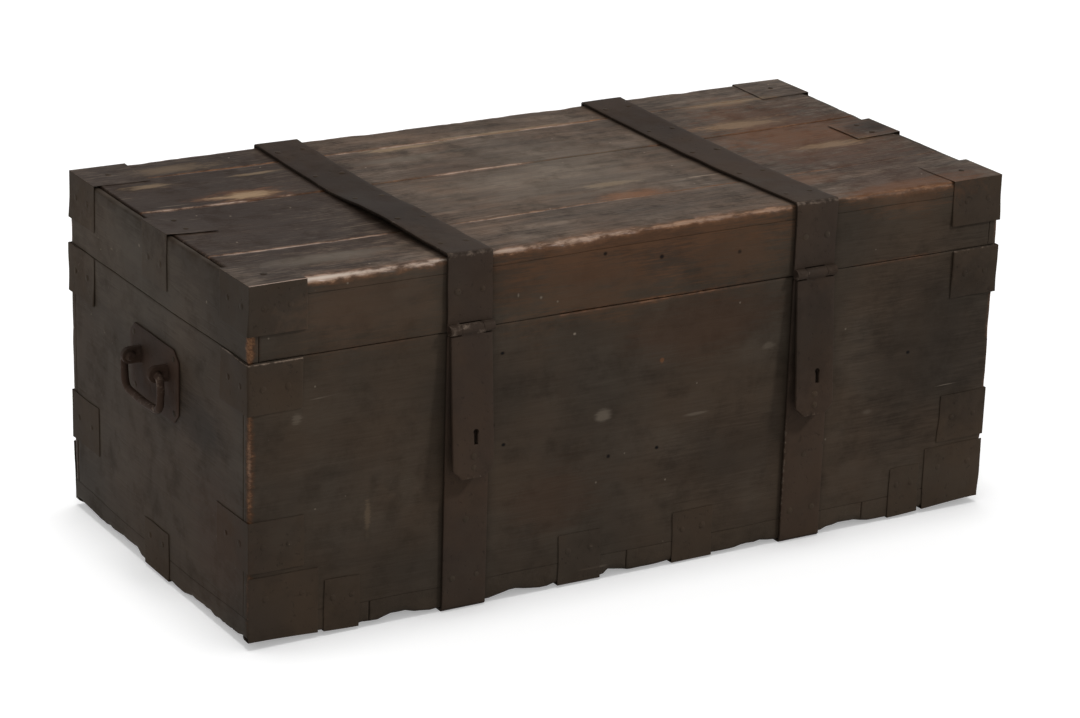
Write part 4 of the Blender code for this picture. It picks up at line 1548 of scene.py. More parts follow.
@dataclass(frozen=True)
class Buckle:
    """The hump in a strap that has come loose from the lid."""

    node: str = "lid_strap_left"
    height: float = 0.0065
    rise: tuple[float, float] = (-0.050, 0.080)
    fall: tuple[float, float] = (0.110, 0.285)
    left_over: float = 0.45
    tilt: float = 0.55

    def raised(self, points: Points) -> Points:
        """How far each place of the strap stands off the lid.

        Args:
            points: Places, one row each.

        Returns:
            A height for each place.
        """
        low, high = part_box(self.node)
        forward = -points[:, 1]
        hump = eased(forward, *self.rise) * (1 - (1 - self.left_over) * eased(forward, *self.fall))
        aside = np.clip((points[:, 0] - low.x) / (high.x - low.x), 0, 1)
        return self.height * hump * (1 - self.tilt * aside)


@dataclass
class Workshop:
    """What every sub-assembly needs: the trunk's planes, its settling, and its materials."""

    trunk: Trunk
    settling: Settling
    hammering: Hammering
    buckle: Buckle
    materials: dict[str, bpy.types.Material]
    iron_boxes: list[tuple[Points, Points, float]]

    SHADE = math.radians(42)
    ON_TOP = 1e-4
    # Dirt and painted shade beside the irons: wood next to them is darkened as the crease there would be in shade
    GRIME_REACH = 0.005
    GRIME_DEPTHS = (-0.012, -0.004)
    STRAP_GRIME = 0.8
    CLIP_GRIME = 0.08
    STRAP_BEDDING = 0.10
    PLATE_BEDDING = 0.74
    LAP_BEDDING = 0.93

    @classmethod
    def opened(cls) -> "Workshop":
        """Reads the frame and mixes the finishes.

        Returns:
            The workshop.
        """
        trunk = Trunk.measured()
        materials = {finish.name: finish.material() for finish in FINISHES}
        slots = {row["node"]: row["material_slot"] for row in frame["record"]["subparts"]}
        boxes = []
        for node, slot in slots.items():
            if slot == "strap_iron" and "hasp" not in node:
                low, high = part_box(node)
                amount = cls.STRAP_GRIME if "strap" in node else cls.CLIP_GRIME
                boxes.append((np.array(low), np.array(high), amount))
        return cls(trunk, Settling(trunk), Hammering(trunk), Buckle(), materials, boxes)

    def grime(self, points: Points) -> Points:
        """How much dirt and painted shade each place gets from lying close to the irons.

        Args:
            points: Places, one row each.

        Returns:
            A number from 0 to 1 for each place.
        """
        darkening = np.zeros(len(points))
        for low, high, amount in self.iron_boxes:
            gap = np.maximum(np.maximum(low - points, points - high), 0)
            darkening = np.maximum(darkening, amount * np.exp(-np.linalg.norm(gap, axis=1) / self.GRIME_REACH))
        beyond = self.trunk.proud(points)[1].max(axis=1)
        return darkening * eased(beyond, *self.GRIME_DEPTHS)

    def bedding(self, node: str) -> Points:
        """How far an iron has sunk into the wood and its paint.

        Args:
            node: The iron's solid.

        Returns:
            Shares of its thickness along X, Y and Z.
        """
        if "strap" in node:
            return np.full(3, self.STRAP_BEDDING)
        lap = self.LAP_BEDDING if node.startswith("lid_") else self.PLATE_BEDDING
        return np.array([self.PLATE_BEDDING, self.PLATE_BEDDING, lap])

    def bent(self, node: str, flat: Points, worn: Points | None = None) -> Points:
        """Places on a flat iron after hammer, sag and settling.

        Args:
            node: The iron's solid.
            flat: Places on the solid.
            worn: The same places after wear, if they are worn.

        Returns:
            The moved places.
        """
        points = flat if worn is None else worn
        points = points + self.hammering.shift(points, self.settling.freedom(flat), self.bedding(node))
        on_top = flat[:, 2] > self.trunk.top - self.ON_TOP
        points = np.where(on_top[:, None], self.settling.sagged(points), points)
        if node == self.buckle.node:
            points[:, 2] += on_top * self.buckle.raised(flat)
        return self.settling.moved(points)

    def dress(
        self,
        mesh: bpy.types.Mesh,
        body: str,
        slot: str,
        finishes: Sequence[Finish],
        nodes: Sequence[str] = (),
    ) -> None:
        """Makes a piece of a mesh and hangs it on its body.

        Args:
            mesh: The mesh.
            body: The body that it moves with.
            slot: The record's material slot; not used.
            finishes: Its finishes, in the order of the mesh's material numbers.
            nodes: The solids that it stands for.
        """
        mesh.shade_smooth()
        mesh.set_sharp_from_angle(angle=self.SHADE)
        for finish in finishes:
            mesh.materials.append(self.materials[finish.name])
        piece = placed(mesh.name, mesh)
        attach(piece, body)
        if nodes:
            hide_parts(*nodes)
        LOG.info("%s: %d faces on %s", piece.name, len(mesh.polygons), body)


@dataclass(frozen=True)
class Board:
    """One board of the trunk."""

    node: str
    body: str
    inside: tuple[int, int, int]
    paint: WoodFinish
    inner: WoodFinish
    wear: EdgeWear
    slot: str = "wall_wood"
    sunk: float = 0.0
    wall: WoodFinish | None = None


@dataclass
class Timber:
    """The box's and the lid's boards, with worn edges and bare insides."""

    shop: Workshop
    wall_wear: EdgeWear = EdgeWear(0.0045, 0.0013, 0.0006, 0.0075, upper_bareness=0.4, side_bareness=0.6)
    lip_wear: EdgeWear = EdgeWear(0.0035, 0.0012, 0.0006, 0.0050, upper_bareness=0.12)
    plank_wear: EdgeWear = EdgeWear(
        0.0045, 0.0022, 0.0006, 0.0060, bare_round=0.0024, upper_bareness=0.68, cross_bareness=0.25
    )
    front_plank_wear: EdgeWear = replace(plank_wear, upper_bareness=0.45)
    bottom_wear: EdgeWear = EdgeWear(
        0.0045, 0.0014, 0.0003, 0.0085, chip_size=0.022, upper_bareness=0.0, side_bareness=0.3
    )
    fine_pitch: float = 0.0045
    wide_pitch: float = 0.011
    dent: float = 0.00022
    dent_size: float = 0.03
    seat: float = 0.012
    plank_sinks: tuple[float, ...] = (0.0004, 0.0, 0.0009, 0.0)
    tongue: float = 0.0010
    tongue_depth: float = 0.014
    facing: float = 0.5
    rubbed: tuple[RubbedEdge, ...] = (
        *FRONT_EDGE_RUBS,
        RubbedEdge(Axis.X, (-0.420, FRONT_JOINT_Y, TOP_Z), 0.160, (0.0020, 0.0014), 0.90, 0.6),
        RubbedEdge(Axis.X, (-0.080, FRONT_JOINT_Y, TOP_Z), 0.160, (0.0010, 0.0010), 0.45, 0.4),
        RubbedEdge(Axis.X, (-0.450, MIDDLE_JOINT_Y, TOP_Z), 0.140, (0.0014, 0.0010), 0.70, 0.5),
        RubbedEdge(Axis.X, (-0.060, MIDDLE_JOINT_Y, TOP_Z), 0.120, (0.0014, 0.0010), 0.70, 0.4),
        RubbedEdge(Axis.X, (-0.020, REAR_JOINT_Y, TOP_Z), 0.220, (0.0014, 0.0010), 0.70, 0.40),
        RubbedEdge(Axis.X, (0.040, FRONT_Y, SEAM_Z), 0.200, (0.0020, 0.0018), 0.56),
        RubbedEdge(Axis.X, (0.400, FRONT_Y, SEAM_Z), 0.100, (0.0008, 0.0008), 0.36),
        RubbedEdge(Axis.X, (-0.420, FRONT_Y, SEAM_Z), 0.110, (0.0008, 0.0008), 0.26),
        RubbedEdge(Axis.Z, (LEFT_X, FRONT_Y, 0.251), 0.060, (0.003, 0.003), 0.55, 0.1),
        RubbedEdge(Axis.Z, (LEFT_X, FRONT_Y, 0.050), 0.056, (0.005, 0.005), 0.62, 0.3),
        RubbedEdge(Axis.X, (0.345, FRONT_Y, BASE_Z), 0.042, (0.016, 0.007), 0.0, fade=0.016),
        RubbedEdge(Axis.X, (0.190, FRONT_Y, BASE_Z), 0.032, (0.014, 0.006), 0.0, fade=0.014),
        RubbedEdge(Axis.X, (-0.030, FRONT_Y, BASE_Z), 0.022, (0.015, 0.006), 0.0, fade=0.010),
        RubbedEdge(Axis.X, (-0.190, FRONT_Y, BASE_Z), 0.028, (0.013, 0.005), 0.0, fade=0.012),
        RubbedEdge(Axis.X, (-0.350, FRONT_Y, BASE_Z), 0.034, (0.015, 0.006), 0.0, fade=0.014),
        RubbedEdge(Axis.Y, (LEFT_X, 0.120, BASE_Z), 0.070, (0.006, 0.013), 0.0, fade=0.020),
        RubbedEdge(Axis.Y, (LEFT_X, -0.130, BASE_Z), 0.050, (0.006, 0.012), 0.0, fade=0.016),
    )

    def boards(self) -> list[Board]:
        """Lists every board, with the way its inner face looks.

        Returns:
            The boards.
        """
        found = []
        for face in Face:
            inward = (0, -face.value, 0)
            woods = (inward, LENGTHWISE_PAINT, LENGTHWISE_BARE)
            found.append(Board(f"{face.word}_board", "box", *woods, self.wall_wear))
            found.append(Board(f"lid_{face.word}_rail", "lid", *woods, self.wall_wear))
        for side in Side:
            inward = (-side.value, 0, 0)
            woods = (inward, CROSSWISE_PAINT, CROSSWISE_BARE)
            found.append(Board(f"{side.word}_end_board", "box", *woods, self.wall_wear))
            found.append(Board(f"lid_{side.word}_end", "lid", *woods, self.lip_wear))
        for number, sunk in enumerate(self.plank_sinks, 1):
            woods = ((0, 0, 1), CROSSWISE_PAINT, CROSSWISE_BARE)
            found.append(Board(f"bottom_plank_{number}", "box", *woods, self.bottom_wear))
            woods = ((0, 0, -1), TOP_POLISH, LENGTHWISE_BARE)
            wear = self.front_plank_wear if number == len(self.plank_sinks) else self.plank_wear
            found.append(Board(f"lid_plank_{number}", "lid", *woods, wear, "top_wood", sunk, EDGE_PAINT))
        return found

    def build(self) -> None:
        """Builds every board."""
        for board in self.boards():
            self.build_board(board)

    def build_board(self, board: Board) -> None:
        """Builds one board from its solid.

        Args:
            board: The board.
        """
        top_plank = board.slot == "top_wood"
        solid = SquaredSolid.from_box(board.node) if top_plank else SquaredSolid.from_node(board.node)
        pitch = [self.wide_pitch] * 3
        spans = [values[-1] - values[0] for values in solid.marks]
        pitch[int(np.argmax(spans))] = self.fine_pitch
        skin = WornSkin.cut(solid, pitch)
        flat = skin.points.copy()
        skin.wear_edges(solid.arrises(), board.wear, self.shop.trunk, self.rubbed)
        points = skin.points + self.dent * soft_drift(flat, self.dent_size, Field.DENT)
        if top_plank:
            low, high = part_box(board.node)
            deep = flat[:, 2] < low.z + self.tongue_depth
            points[:, 1] += self.tongue * (deep & (flat[:, 1] > high.y - TOUCHING))
            points[:, 2] -= board.sunk
            points = self.shop.settling.sagged(points)
        points = self.shop.settling.moved(points)
        mesh = skin.to_mesh(f"aged_{board.node}", points)
        # Dirt and painted shade along the irons' edges
        note(mesh, "grime", self.shop.grime(flat))
        self.sort_faces(mesh, flat, skin.faces, board)
        finishes = [board.paint, board.inner] + ([board.wall] if board.wall else [])
        self.shop.dress(mesh, board.body, board.slot, finishes, [board.node])

    def sort_faces(self, mesh: bpy.types.Mesh, flat: Points, faces: np.ndarray, board: Board) -> None:
        """Numbers the faces that look into the trunk 1, and those in a painted long wall 2.

        Args:
            mesh: The mesh.
            flat: The corners before they were worn.
            faces: Four corners for each face.
            board: The board.
        """
        first, second, third = (flat[faces[:, corner]] for corner in range(3))
        normal = np.cross(second - first, third - second)
        size = np.linalg.norm(normal, axis=1)
        inner = (normal @ np.array(board.inside, dtype=float)) > self.facing * size
        beyond = self.shop.trunk.proud(flat[faces].mean(axis=1))[1]
        inner &= beyond[:, :2].max(axis=1) < -self.seat
        numbers = inner.astype(np.int32)
        if board.wall:
            sideways = np.abs(normal[:, 1]) > self.facing * size
            numbers[sideways & (beyond[:, 1] > -self.tongue)] = 2
        mesh.polygons.foreach_set("material_index", numbers)


@dataclass
class FlatIrons:
    """Corner caps, angles, clips and bands: flat iron bent round the wood's edges."""

    shop: Workshop
    wear: EdgeWear = EdgeWear(
        0.0022, 0.0018, 0.0010, 0.0012, bare_round=0.0024, tail=0.0014, side_bareness=0.3
    )
    lid_bareness: float = 0.2
    rub_reach: tuple[float, float] = (0.002, 0.001)
    tuck: float = 0.012
    tuck_rise: tuple[float, float] = (0.010, 0.045)
    tuck_length: float = 0.06
    pitch: float = 0.008

    def names(self) -> list[tuple[str, str]]:
        """Lists the irons.

        Returns:
            For each iron its solid and the body that it rides on.
        """
        found = []
        for side in Side:
            found += [(f"lid_end_clip_{side.word}", "lid"), (f"bottom_end_clip_{side.word}", "box")]
            for face in Face:
                corner = f"{face.word}_{side.word}"
                found.append((f"lid_corner_cap_{corner}", "lid"))
                for part in ("upper_corner_angle", "middle_corner_angle", "bottom_corner_clip"):
                    found.append((f"{part}_{corner}", "box"))
        return found + [(f"bottom_band_{number}", "box") for number in range(1, BAND_COUNT + 1)]

    def build(self) -> None:
        """Builds every iron from its solid."""
        rubbed = [replace(rub, reach=self.rub_reach) for rub in FRONT_EDGE_RUBS]
        lid_wear = replace(self.wear, upper_bareness=self.lid_bareness)
        for node, body in self.names():
            solid = SquaredSolid.from_node(node)
            skin = WornSkin.cut(solid, [self.pitch] * 3)
            flat = skin.points.copy()
            wear = lid_wear if body == "lid" else self.wear
            skin.wear_edges(solid.arrises(), wear, self.shop.trunk, rubbed)
            if node.startswith("bottom_corner_clip"):
                skin.points[:, 0] -= self.tucked(flat)
            mesh = skin.to_mesh(f"forged_{node}", self.shop.bent(node, flat, skin.points))
            on_top = (flat[skin.faces, 2] > self.shop.trunk.top).all(axis=1)
            mesh.polygons.foreach_set("material_index", on_top.astype(np.int32))
            self.shop.dress(mesh, body, "strap_iron", (PLATE_IRON, LID_IRON), [node])

    def tucked(self, flat: Points) -> Points:
        """How far a corner clip's lap under the bottom is trimmed at its outer edge.

        Args:
            flat: The clip's places.

        Returns:
            A move along X for each place.
        """
        trunk = self.shop.trunk
        inward = trunk.half_depth - np.abs(flat[:, 1])
        under = (flat[:, 2] < trunk.base) * eased(inward, *self.tuck_rise)
        outer = eased(np.abs(flat[:, 0]), trunk.half_length - self.tuck_length, trunk.half_length)
        return np.sign(flat[:, 0]) * self.tuck * under * outer


# Rubbing along strips of iron, and rubbing with a painted glint round the hasps' hinges

EDGE_RUB_SPAN = (0.0002, 0.0016)
EDGE_RUB_LEVEL, EDGE_RUB_SWING, EDGE_RUB_SIZE = 0.08, 0.5, 0.06
FAR_EDGE_SHARE = 0.35
# Painted glint as well as rubbing: the hinge knuckles take the pale rubbed colour, stronger on the left hinge
KNUCKLE_RUBS_AND_GLINTS = {"left_hasp_hinge": 0.32, "right_hasp_hinge": 0.17}
KNUCKLE_SPAN = (0.0072, 0.0095)
KNUCKLE_HALF = 0.05
KNUCKLE_SWING, KNUCKLE_RUB_AND_GLINT_SIZE = 1.1, 0.008


def edge_nearness(points: Points, low: float, high: float, axis: Axis = Axis.X) -> Points:
    """How far rubbing has bared the two edges of a strip of iron.

    Args:
        points: Places, one row each.
        low: Where the strip starts.
        high: Where it ends.
        axis: The axis across the strip.

    Returns:
        A number from 0 to 1 for each place.
    """
    values = points[:, axis.value]
    first = 1 - eased(values - low, *EDGE_RUB_SPAN)
    second = 1 - eased(high - values, *EDGE_RUB_SPAN)
    near = np.maximum(first, FAR_EDGE_SHARE * second)
    swing = EDGE_RUB_SWING * soft_noise(points, EDGE_RUB_SIZE, Field.EDGE_RUB)
    return near * np.clip(EDGE_RUB_LEVEL + swing, 0, 1)


def knuckle_wear(points: Points) -> Points:
    """How far the knuckles of the hasps' hinges are rubbed, with a pale painted glint on them.

    Args:
        points: Places, one row each.

    Returns:
        A number from 0 to 1 for each place.
    """
    wear = np.zeros(len(points))
    for joint in frame["joints"]:
        if joint["name"] in KNUCKLE_RUBS_AND_GLINTS:
            offset = points - np.array(joint["pos_m"])
            near = 1 - eased(np.hypot(offset[:, 1], offset[:, 2]), *KNUCKLE_SPAN)
            near *= np.abs(offset[:, 0]) < KNUCKLE_HALF
            wear = np.maximum(wear, KNUCKLE_RUBS_AND_GLINTS[joint["name"]] * near)
    swing = KNUCKLE_SWING * soft_noise(points, KNUCKLE_RUB_AND_GLINT_SIZE, Field.KNUCKLE_RUB)
    return np.clip(wear * (1 + swing), 0, 1)


@dataclass
class Straps:
    """The long straps over the lid and down the box."""

    shop: Workshop
    soft_edge: float = 0.0009
    shortest: float = 0.005
    pitch: tuple[float, float, float] = (0.008, 0.010, 0.010)
    bend_out: float = 0.0043
    bend_wear: float = 0.55
    bend_span: tuple[float, float] = (0.002, 0.009)
    side_top: float = 0.0041

    def build(self) -> None:
        """Builds every strap from its solid."""
        for side in Side:
            for part, body in (("lid", "lid"), ("front", "box"), ("back", "box")):
                self.build_strap(f"{part}_strap_{side.word}", body)

    def build_strap(self, node: str, body: str) -> None:
        """Builds one strap.

        Args:
            node: Its solid.
            body: The body that it rides on.
        """
        skin = ForgedSkin(node)
        flat = skin.worked(self.soft_edge, self.shortest, self.pitch)
        low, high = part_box(node)
        mesh = skin.to_mesh(f"forged_{node}", self.shop.bent(node, flat))
        trunk = self.shop.trunk
        forward = flat[:, 1] + trunk.half_depth + self.bend_out
        upward = flat[:, 2] - trunk.top - self.bend_out
        rubbed_bend = self.bend_wear * (1 - eased(np.hypot(forward, upward), *self.bend_span))
        wear = np.maximum(edge_nearness(flat, low.x, high.x), rubbed_bend)
        note(mesh, "wear", np.maximum(wear, knuckle_wear(flat)))
        # Painted shade: the strap's sides, below its outer face, are darkened as if in shade
        proud = trunk.proud(flat)[1].max(axis=1)
        note(mesh, "grime", 1 - eased(proud, self.side_top - self.soft_edge, self.side_top))
        self.shop.dress(mesh, body, "strap_iron", (STRAP_IRON,), [node])


@dataclass
class Hasps:
    """The hasps with their keyholes."""

    shop: Workshop
    soft_edge: float = 0.0010
    shortest: float = 0.003
    pitch: tuple[float, float, float] = (0.008, 0.0, 0.010)
    tip_wear: float = 0.35
    tip_reach: float = 0.012

    def build(self) -> None:
        """Builds both hasps."""
        for side in Side:
            node, body = f"hasp_{side.word}", f"{side.word}_hasp"
            skin = ForgedSkin(node)
            flat = skin.worked(self.soft_edge, self.shortest, self.pitch)
            low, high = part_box(node)
            mesh = skin.to_mesh(f"forged_{node}", flat)
            wear = np.maximum(edge_nearness(flat, low.x, high.x), knuckle_wear(flat))
            tip = 1 - eased(flat[:, 2] - low.z, 0.0, self.tip_reach)
            note(mesh, "wear", np.maximum(wear, self.tip_wear * tip))
            self.shop.dress(mesh, body, "strap_iron", (STRAP_IRON,), [node])


@dataclass
class Handles:
    """The drop handles: plates with eyes, and round bails."""

    shop: Workshop
    soft_edge: float = 0.0008
    shortest: float = 0.004
    plate_pitch: tuple[float, float, float] = (0.0, 0.010, 0.010)
    blow: float = 0.00035
    blow_size: float = 0.012
    bail_rub: float = 0.25
    bail_rub_size: float = 0.02

    def build(self) -> None:
        """Builds the plates and the bails."""
        for side in Side:
            self.build_plate(f"handle_plate_{side.word}")
            self.build_bail(f"handle_bail_{side.word}", f"{side.word}_bail")

    def build_plate(self, node: str) -> None:
        """Builds one plate from its solid.

        Args:
            node: The solid.
        """
        plate = ForgedSkin(node)
        flat = plate.worked(self.soft_edge, self.shortest, self.plate_pitch)
        low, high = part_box(node)
        mesh = plate.to_mesh(f"forged_{node}", self.shop.bent(node, flat))
        note(mesh, "wear", edge_nearness(flat, low.y, high.y, Axis.Y))
        self.shop.dress(mesh, "box", "fitting_iron", (RUSTY_IRON,), [node])

    def build_bail(self, node: str, body: str) -> None:
        """Builds one bail from its solid.

        Args:
            node: The solid.
            body: The body that it rides on.
        """
        bail = ForgedSkin(node)
        bail.refine()
        flat = bail.points()
        points = flat + self.blow * soft_drift(flat, self.blow_size, Field.BLOW)
        mesh = bail.to_mesh(f"forged_{node}", points)
        rubbed = 1 + soft_noise(flat, self.bail_rub_size, Field.BAIL_RUB)
        note(mesh, "wear", self.bail_rub * rubbed)
        self.shop.dress(mesh, body, "fitting_iron", (RUSTY_IRON,), [node])


@dataclass(frozen=True)
class NailSpot:
    """Where one nail head sits and the way it looks."""

    body: str
    place: Place
    outward: Place


@dataclass
class Nails:
    """Hand-made nail heads on the irons, and the rivets that hold the hasps' staples."""

    shop: Workshop
    radius: float = 0.0044
    height: float = 0.0011
    sides: int = 10
    rings: tuple[tuple[float, float], ...] = ((0.9, -0.8), (1.0, 0.12), (0.8, 0.62), (0.42, 0.95))
    strap_out: float = 0.0043
    plate_out: float = 0.0033
    hasp_out: float = 0.002
    rivet_drop: float = 0.177
    rivet_gap: float = 0.0075
    tilt: float = 0.07
    radius_spread: tuple[float, float] = (0.85, 1.15)
    height_spread: tuple[float, float] = (0.75, 1.1)
    rim_spread: tuple[float, float] = (0.93, 1.05)
    wear_spread: tuple[float, float] = (0.0, 0.35)
    seed: int = 7

    def build(self) -> None:
        """Builds one piece of nails for each body."""
        spots = [*self.plate_spots(), *self.strap_spots(), *self.handle_spots(), *self.rivet_spots()]
        chance = np.random.default_rng(self.seed)
        for body in sorted({spot.body for spot in spots}):
            points, faces = [], []
            for spot in spots:
                if spot.body == body:
                    self.add_head(spot, chance, points, faces)
            mesh = bpy.data.meshes.new(f"nails_of_{body}")
            mesh.from_pydata(points, [], faces)
            note(mesh, "wear", chance.uniform(*self.wear_spread, len(points)))
            self.shop.dress(mesh, body, "strap_iron", (PLATE_IRON,))

    def add_head(
        self,
        spot: NailSpot,
        chance: np.random.Generator,
        points: list[Vector],
        faces: list[tuple[int, ...]],
    ) -> None:
        """Adds one nail head to a mesh in the making.

        Args:
            spot: Where it sits.
            chance: The dice for its size, tilt and dents.
            points: The mesh's corners so far.
            faces: The mesh's faces so far.
        """
        tilt = Vector(chance.uniform(-self.tilt, self.tilt, 3))
        turn = (Vector(spot.outward) + tilt).to_track_quat("Z", "Y").to_matrix()
        radius = self.radius * chance.uniform(*self.radius_spread)
        height = self.height * chance.uniform(*self.height_spread)
        start = len(points)
        for share, rise in self.rings:
            for number in range(self.sides):
                angle = math.tau * number / self.sides
                reach = radius * share * chance.uniform(*self.rim_spread)
                local = Vector((reach * math.cos(angle), reach * math.sin(angle), height * rise))
                points.append(Vector(spot.place) + turn @ local)
        last = len(self.rings) - 1
        for ring in range(last):
            for number in range(self.sides):
                here, following = start + ring * self.sides, (number + 1) % self.sides
                above = here + self.sides
                faces.append((here + number, here + following, above + following, above + number))
        faces.append(tuple(start + last * self.sides + number for number in range(self.sides)))
        faces.append(tuple(start + number for number in reversed(range(self.sides))))

    def on_face(
        self,
        node: str,
        body: str,
        axis: Axis,
        sign: int,
        shares: Sequence[tuple[float, float]],
        plane: float | None = None,
    ) -> list[NailSpot]:
        """Nails on one face of the box round an iron.

        Args:
            node: The iron's solid.
            body: The body that it rides on.
            axis: The axis that the face looks along.
            sign: Which way along that axis.
            shares: Shares of the face's two sides, for each nail.
            plane: Where the face lies, if not at the end of the box.

        Returns:
            The nails.
        """
        low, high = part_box(node)
        level = axis.value
        u, v = (level + 1) % 3, (level + 2) % 3
        flat = np.zeros((len(shares), 3))
        flat[:, level] = plane if plane is not None else (high if sign > 0 else low)[level]
        for row, (first, second) in zip(flat, shares):
            row[u] = low[u] + first * (high[u] - low[u])
            row[v] = low[v] + second * (high[v] - low[v])
        outward = tuple(float(sign * (level == other)) for other in range(3))
        return [NailSpot(body, tuple(place), outward) for place in self.shop.bent(node, flat)]

    def plate_spots(self) -> list[NailSpot]:
        """Places the nails of the caps, angles, clips and bands.

        Returns:
            The nails.
        """
        spots = []
        end_pair, wall_pair = [(0.28, 0.5), (0.72, 0.5)], [(0.5, 0.28), (0.5, 0.72)]
        lap_pair, foot_pair = [(0.5, 0.25), (0.5, 0.75)], [(0.66, 0.24), (0.66, 0.76)]
        for side in Side:
            end = (Axis.X, side.value)
            clip, foot = f"lid_end_clip_{side.word}", f"bottom_end_clip_{side.word}"
            spots += self.on_face(clip, "lid", *end, [(0.25, 0.4), (0.75, 0.4)])
            spots += self.on_face(clip, "lid", Axis.Z, 1, lap_pair)
            spots += self.on_face(foot, "box", *end, [(0.25, 0.7), (0.75, 0.7)])
            for face in Face:
                corner, wall = f"{face.word}_{side.word}", (Axis.Y, face.value)
                cap = f"lid_corner_cap_{corner}"
                spots += self.on_face(cap, "lid", *end, end_pair)
                spots += self.on_face(cap, "lid", *wall, wall_pair)
                spots += self.on_face(cap, "lid", Axis.Z, 1, [(0.5, 0.5)])
                for part in ("upper_corner_angle", "middle_corner_angle"):
                    spots += self.on_face(f"{part}_{corner}", "box", *end, end_pair)
                    spots += self.on_face(f"{part}_{corner}", "box", *wall, wall_pair)
                spots += self.on_face(f"bottom_corner_clip_{corner}", "box", *wall, foot_pair)
        for number in range(1, BAND_COUNT + 1):
            for face in Face:
                spots += self.on_face(f"bottom_band_{number}", "box", Axis.Y, face.value, foot_pair)
        return spots

    def strap_spots(self) -> list[NailSpot]:
        """Places pairs of nails along the straps.

        Returns:
            The nails.
        """
        spots = []
        out = self.shop.trunk.half_depth + self.strap_out
        along = [(across, 0.1 + 0.2 * step) for step in range(5) for across in (0.2, 0.8)]
        drop = [(0.55, 0.22), (0.55, 0.78)]
        foot = [(0.12, 0.22), (0.12, 0.78), (0.33, 0.5)]
        up = [(0.12 + 0.24 * step, across) for step in range(4) for across in (0.22, 0.78)]
        for side in Side:
            lid, front, back = (f"{part}_strap_{side.word}" for part in ("lid", "front", "back"))
            spots += self.on_face(lid, "lid", Axis.Z, 1, along)
            for face in Face:
                spots += self.on_face(lid, "lid", Axis.Y, face.value, drop, face.value * out)
            spots += self.on_face(front, "box", Axis.Y, -1, foot, -out)
            spots += self.on_face(back, "box", Axis.Y, 1, up, out)
        return spots

    def handle_spots(self) -> list[NailSpot]:
        """Places four nails at the corners of each handle plate.

        Returns:
            The nails.
        """
        spots = []
        corners = [(across, up) for across in (0.09, 0.91) for up in (0.13, 0.87)]
        for side in Side:
            out = side.value * (self.shop.trunk.half_length + self.plate_out)
            node = f"handle_plate_{side.word}"
            spots += self.on_face(node, "box", Axis.X, side.value, corners, out)
        return spots

    def rivet_spots(self) -> list[NailSpot]:
        """Places two rivets on each hasp, which hangs a little open.

        Returns:
            The rivets.
        """
        spots = []
        for joint in frame["joints"]:
            if "hasp" not in joint["name"]:
                continue
            lean = math.radians(-joint["range_deg"][0])
            down = Vector((0, -math.sin(lean), -math.cos(lean)))
            outward = Vector((0, -math.cos(lean), math.sin(lean)))
            for step in (-1, 1):
                drop = self.rivet_drop + step * self.rivet_gap
                place = Vector(joint["pos_m"]) + down * drop + outward * self.hasp_out
                spots.append(NailSpot(joint["child"], tuple(place), tuple(outward)))
        return spots


@dataclass
class SmallIron:
    """Pins, lock cases and bolts: solids that keep their shape and get a finish."""

    shop: Workshop

    def build(self) -> None:
        """Dresses the solids that stay."""
        for side in Side:
            for part in ("hasp_pin", "hinge_pin", "lock_case", "lock_bolt"):
                piece = frame["nodes"][f"{part}_{side.word}"]
                piece.data.materials.clear()
                piece.data.materials.append(self.shop.materials[RUSTY_IRON.name])
                LOG.info("%s: finish only", piece.name)


# The studio


class FloorLight(Enum):
    """Whether a lamp lights the floor alone, or everything but the floor."""

    ALONE = "INCLUDE"
    SPARED = "EXCLUDE"


@dataclass(frozen=True)
class Lamp:
    """A square soft lamp: where it hangs, its width, and its power in watts."""

    name: str
    place: Place
    size: float
    power: float


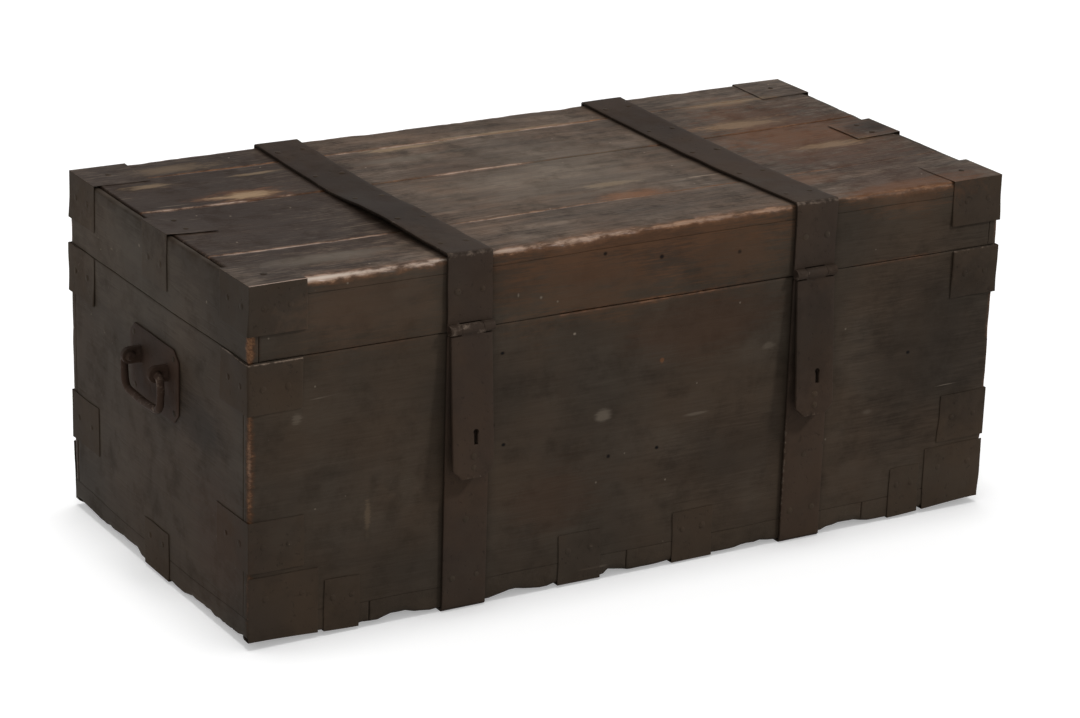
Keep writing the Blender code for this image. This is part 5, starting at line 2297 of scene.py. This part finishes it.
@dataclass
class Studio:
    """The white floor, the lamps and the camera."""

    aim: Place = (0.0399, 0.0535, 0.1910)
    distance: float = 4.879
    azimuth: float = math.radians(-31.005)
    elevation: float = math.radians(19.52)
    roll: float = math.radians(1.776)
    lens: float = 115.98
    floor_half: float = 30.0
    camera_reach: float = 100.0
    floor_colour: Colour = (0.86, 0.86, 0.86)
    floor_roughness: float = 0.9
    floor_glow: float = 0.31
    overhead_power: float = 1.5
    overhead_spread: float = math.radians(20.0)
    sky: float = 0.38
    key: Lamp = Lamp("key lamp", (4.3, -3.5, 5.2), 0.8, 325.0)
    fills: tuple[Lamp, ...] = (
        Lamp("top lamp", (0.4, 0.7, 3.2), 2.0, 12.0),
        Lamp("left lamp", (-3.2, 1.4, 2.4), 1.4, 9.0),
        Lamp("front lamp", (-1.8, -3.9, 1.9), 2.2, 16.0),
    )

    def build(self) -> None:
        """Sets up the whole studio."""
        bpy.context.scene.view_settings.view_transform = "Standard"
        floor = self.build_floor()
        self.build_sky()
        self.share_light(self.build_lamp(self.key), floor, FloorLight.SPARED)
        self.share_light(self.build_overhead(), floor, FloorLight.ALONE)
        for lamp in self.fills:
            self.build_lamp(lamp)
        self.build_camera()

    def background_share(self, bench: Bench) -> bpy.types.NodeSocket:
        """1 for the rays that see the background, and 0 for those that light the trunk.

        Args:
            bench: The material's or the world's bench.

        Returns:
            The share's socket.
        """
        path = bench.node("ShaderNodeLightPath")
        rays = [path.outputs[f"Is {kind} Ray"] for kind in ("Camera", "Glossy", "Transmission")]
        return bench.math("MAXIMUM", bench.math("MAXIMUM", rays[0], rays[1]), rays[2])

    def share_light(self, lamp: bpy.types.Object, floor: bpy.types.Object, light: FloorLight) -> None:
        """Keeps a lamp's light off the floor, or on the floor alone.

        Args:
            lamp: The lamp.
            floor: The floor.
            light: What the floor gets of it.
        """
        lit = bpy.data.collections.new(f"share of the {lamp.name}")
        lit.objects.link(floor)
        lamp.light_linking.receiver_collection = lit
        lit.collection_objects[0].light_linking.link_state = light.value

    def build_floor(self) -> bpy.types.Object:
        """A wide white floor that keeps the trunk's shadow.

        Returns:
            The floor.
        """
        mesh = bpy.data.meshes.new("floor")
        half = self.floor_half
        corners = [(-half, -half, 0), (half, -half, 0), (half, half, 0), (-half, half, 0)]
        mesh.from_pydata(corners, [], [range(len(corners))])
        floor = placed("floor", mesh)
        material = bpy.data.materials.new("white floor")
        material.use_nodes = True
        bench = Bench(material.node_tree)
        shader = material.node_tree.nodes["Principled BSDF"]
        fed = {
            "Base Color": self.floor_colour,
            "Roughness": self.floor_roughness,
            "Specular IOR Level": 0.0,
            "Emission Color": WHITE,
            "Emission Strength": bench.times(self.background_share(bench), self.floor_glow),
        }
        bench.feed_all(shader, fed)
        mesh.materials.append(material)
        return floor

    def build_sky(self) -> None:
        """Even white light from all round, seen as plain white."""
        world = bpy.data.worlds.new("white studio")
        bpy.context.scene.world = world
        world.use_nodes = True
        bench = Bench(world.node_tree)
        strength = bench.ramp(self.background_share(bench), 0.0, 1.0, self.sky, 1.0)
        bench.feed_all(world.node_tree.nodes["Background"], {"Color": WHITE, "Strength": strength})

    def build_lamp(self, lamp: Lamp) -> bpy.types.Object:
        """Hangs a lamp that looks at the trunk.

        Args:
            lamp: The lamp.

        Returns:
            The lamp's object.
        """
        light = bpy.data.lights.new(lamp.name, "AREA")
        light.size = lamp.size
        light.energy = lamp.power
        holder = placed(lamp.name, light)
        holder.location = lamp.place
        look = Vector(self.aim) - Vector(lamp.place)
        holder.rotation_euler = look.to_track_quat("-Z", "Y").to_euler()
        return holder

    def build_overhead(self) -> bpy.types.Object:
        """An even light from straight above, under which a shadow lies close round the trunk.

        Returns:
            The light.
        """
        light = bpy.data.lights.new("floor light", "SUN")
        light.energy = self.overhead_power
        light.angle = self.overhead_spread
        return placed("floor light", light)

    def build_camera(self) -> None:
        """The camera, at the photograph's angle."""
        level = math.cos(self.elevation)
        aside, ahead = math.sin(self.azimuth) * level, -math.cos(self.azimuth) * level
        back = Vector((aside, ahead, math.sin(self.elevation)))
        data = bpy.data.cameras.new("camera")
        data.lens = self.lens
        data.clip_end = self.camera_reach
        camera = placed("camera", data)
        turn = (-back).to_track_quat("-Z", "Y").to_matrix() @ Matrix.Rotation(self.roll, 3, "Z")
        camera.matrix_world = Matrix.LocRotScale(Vector(self.aim) + back * self.distance, turn, None)
        bpy.context.scene.camera = camera


def main() -> None:
    """Dresses the trunk and sets up its studio."""
    logging.basicConfig(level=logging.INFO, format="%(name)s: %(message)s")
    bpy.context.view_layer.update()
    shop = Workshop.opened()
    crafts = (Timber, FlatIrons, Straps, Hasps, Handles, Nails, SmallIron)
    for assembly in (craft(shop) for craft in crafts):
        assembly.build()
        LOG.info("%s is built", type(assembly).__name__)
    Studio().build()


if __name__ == "__main__":
    main()
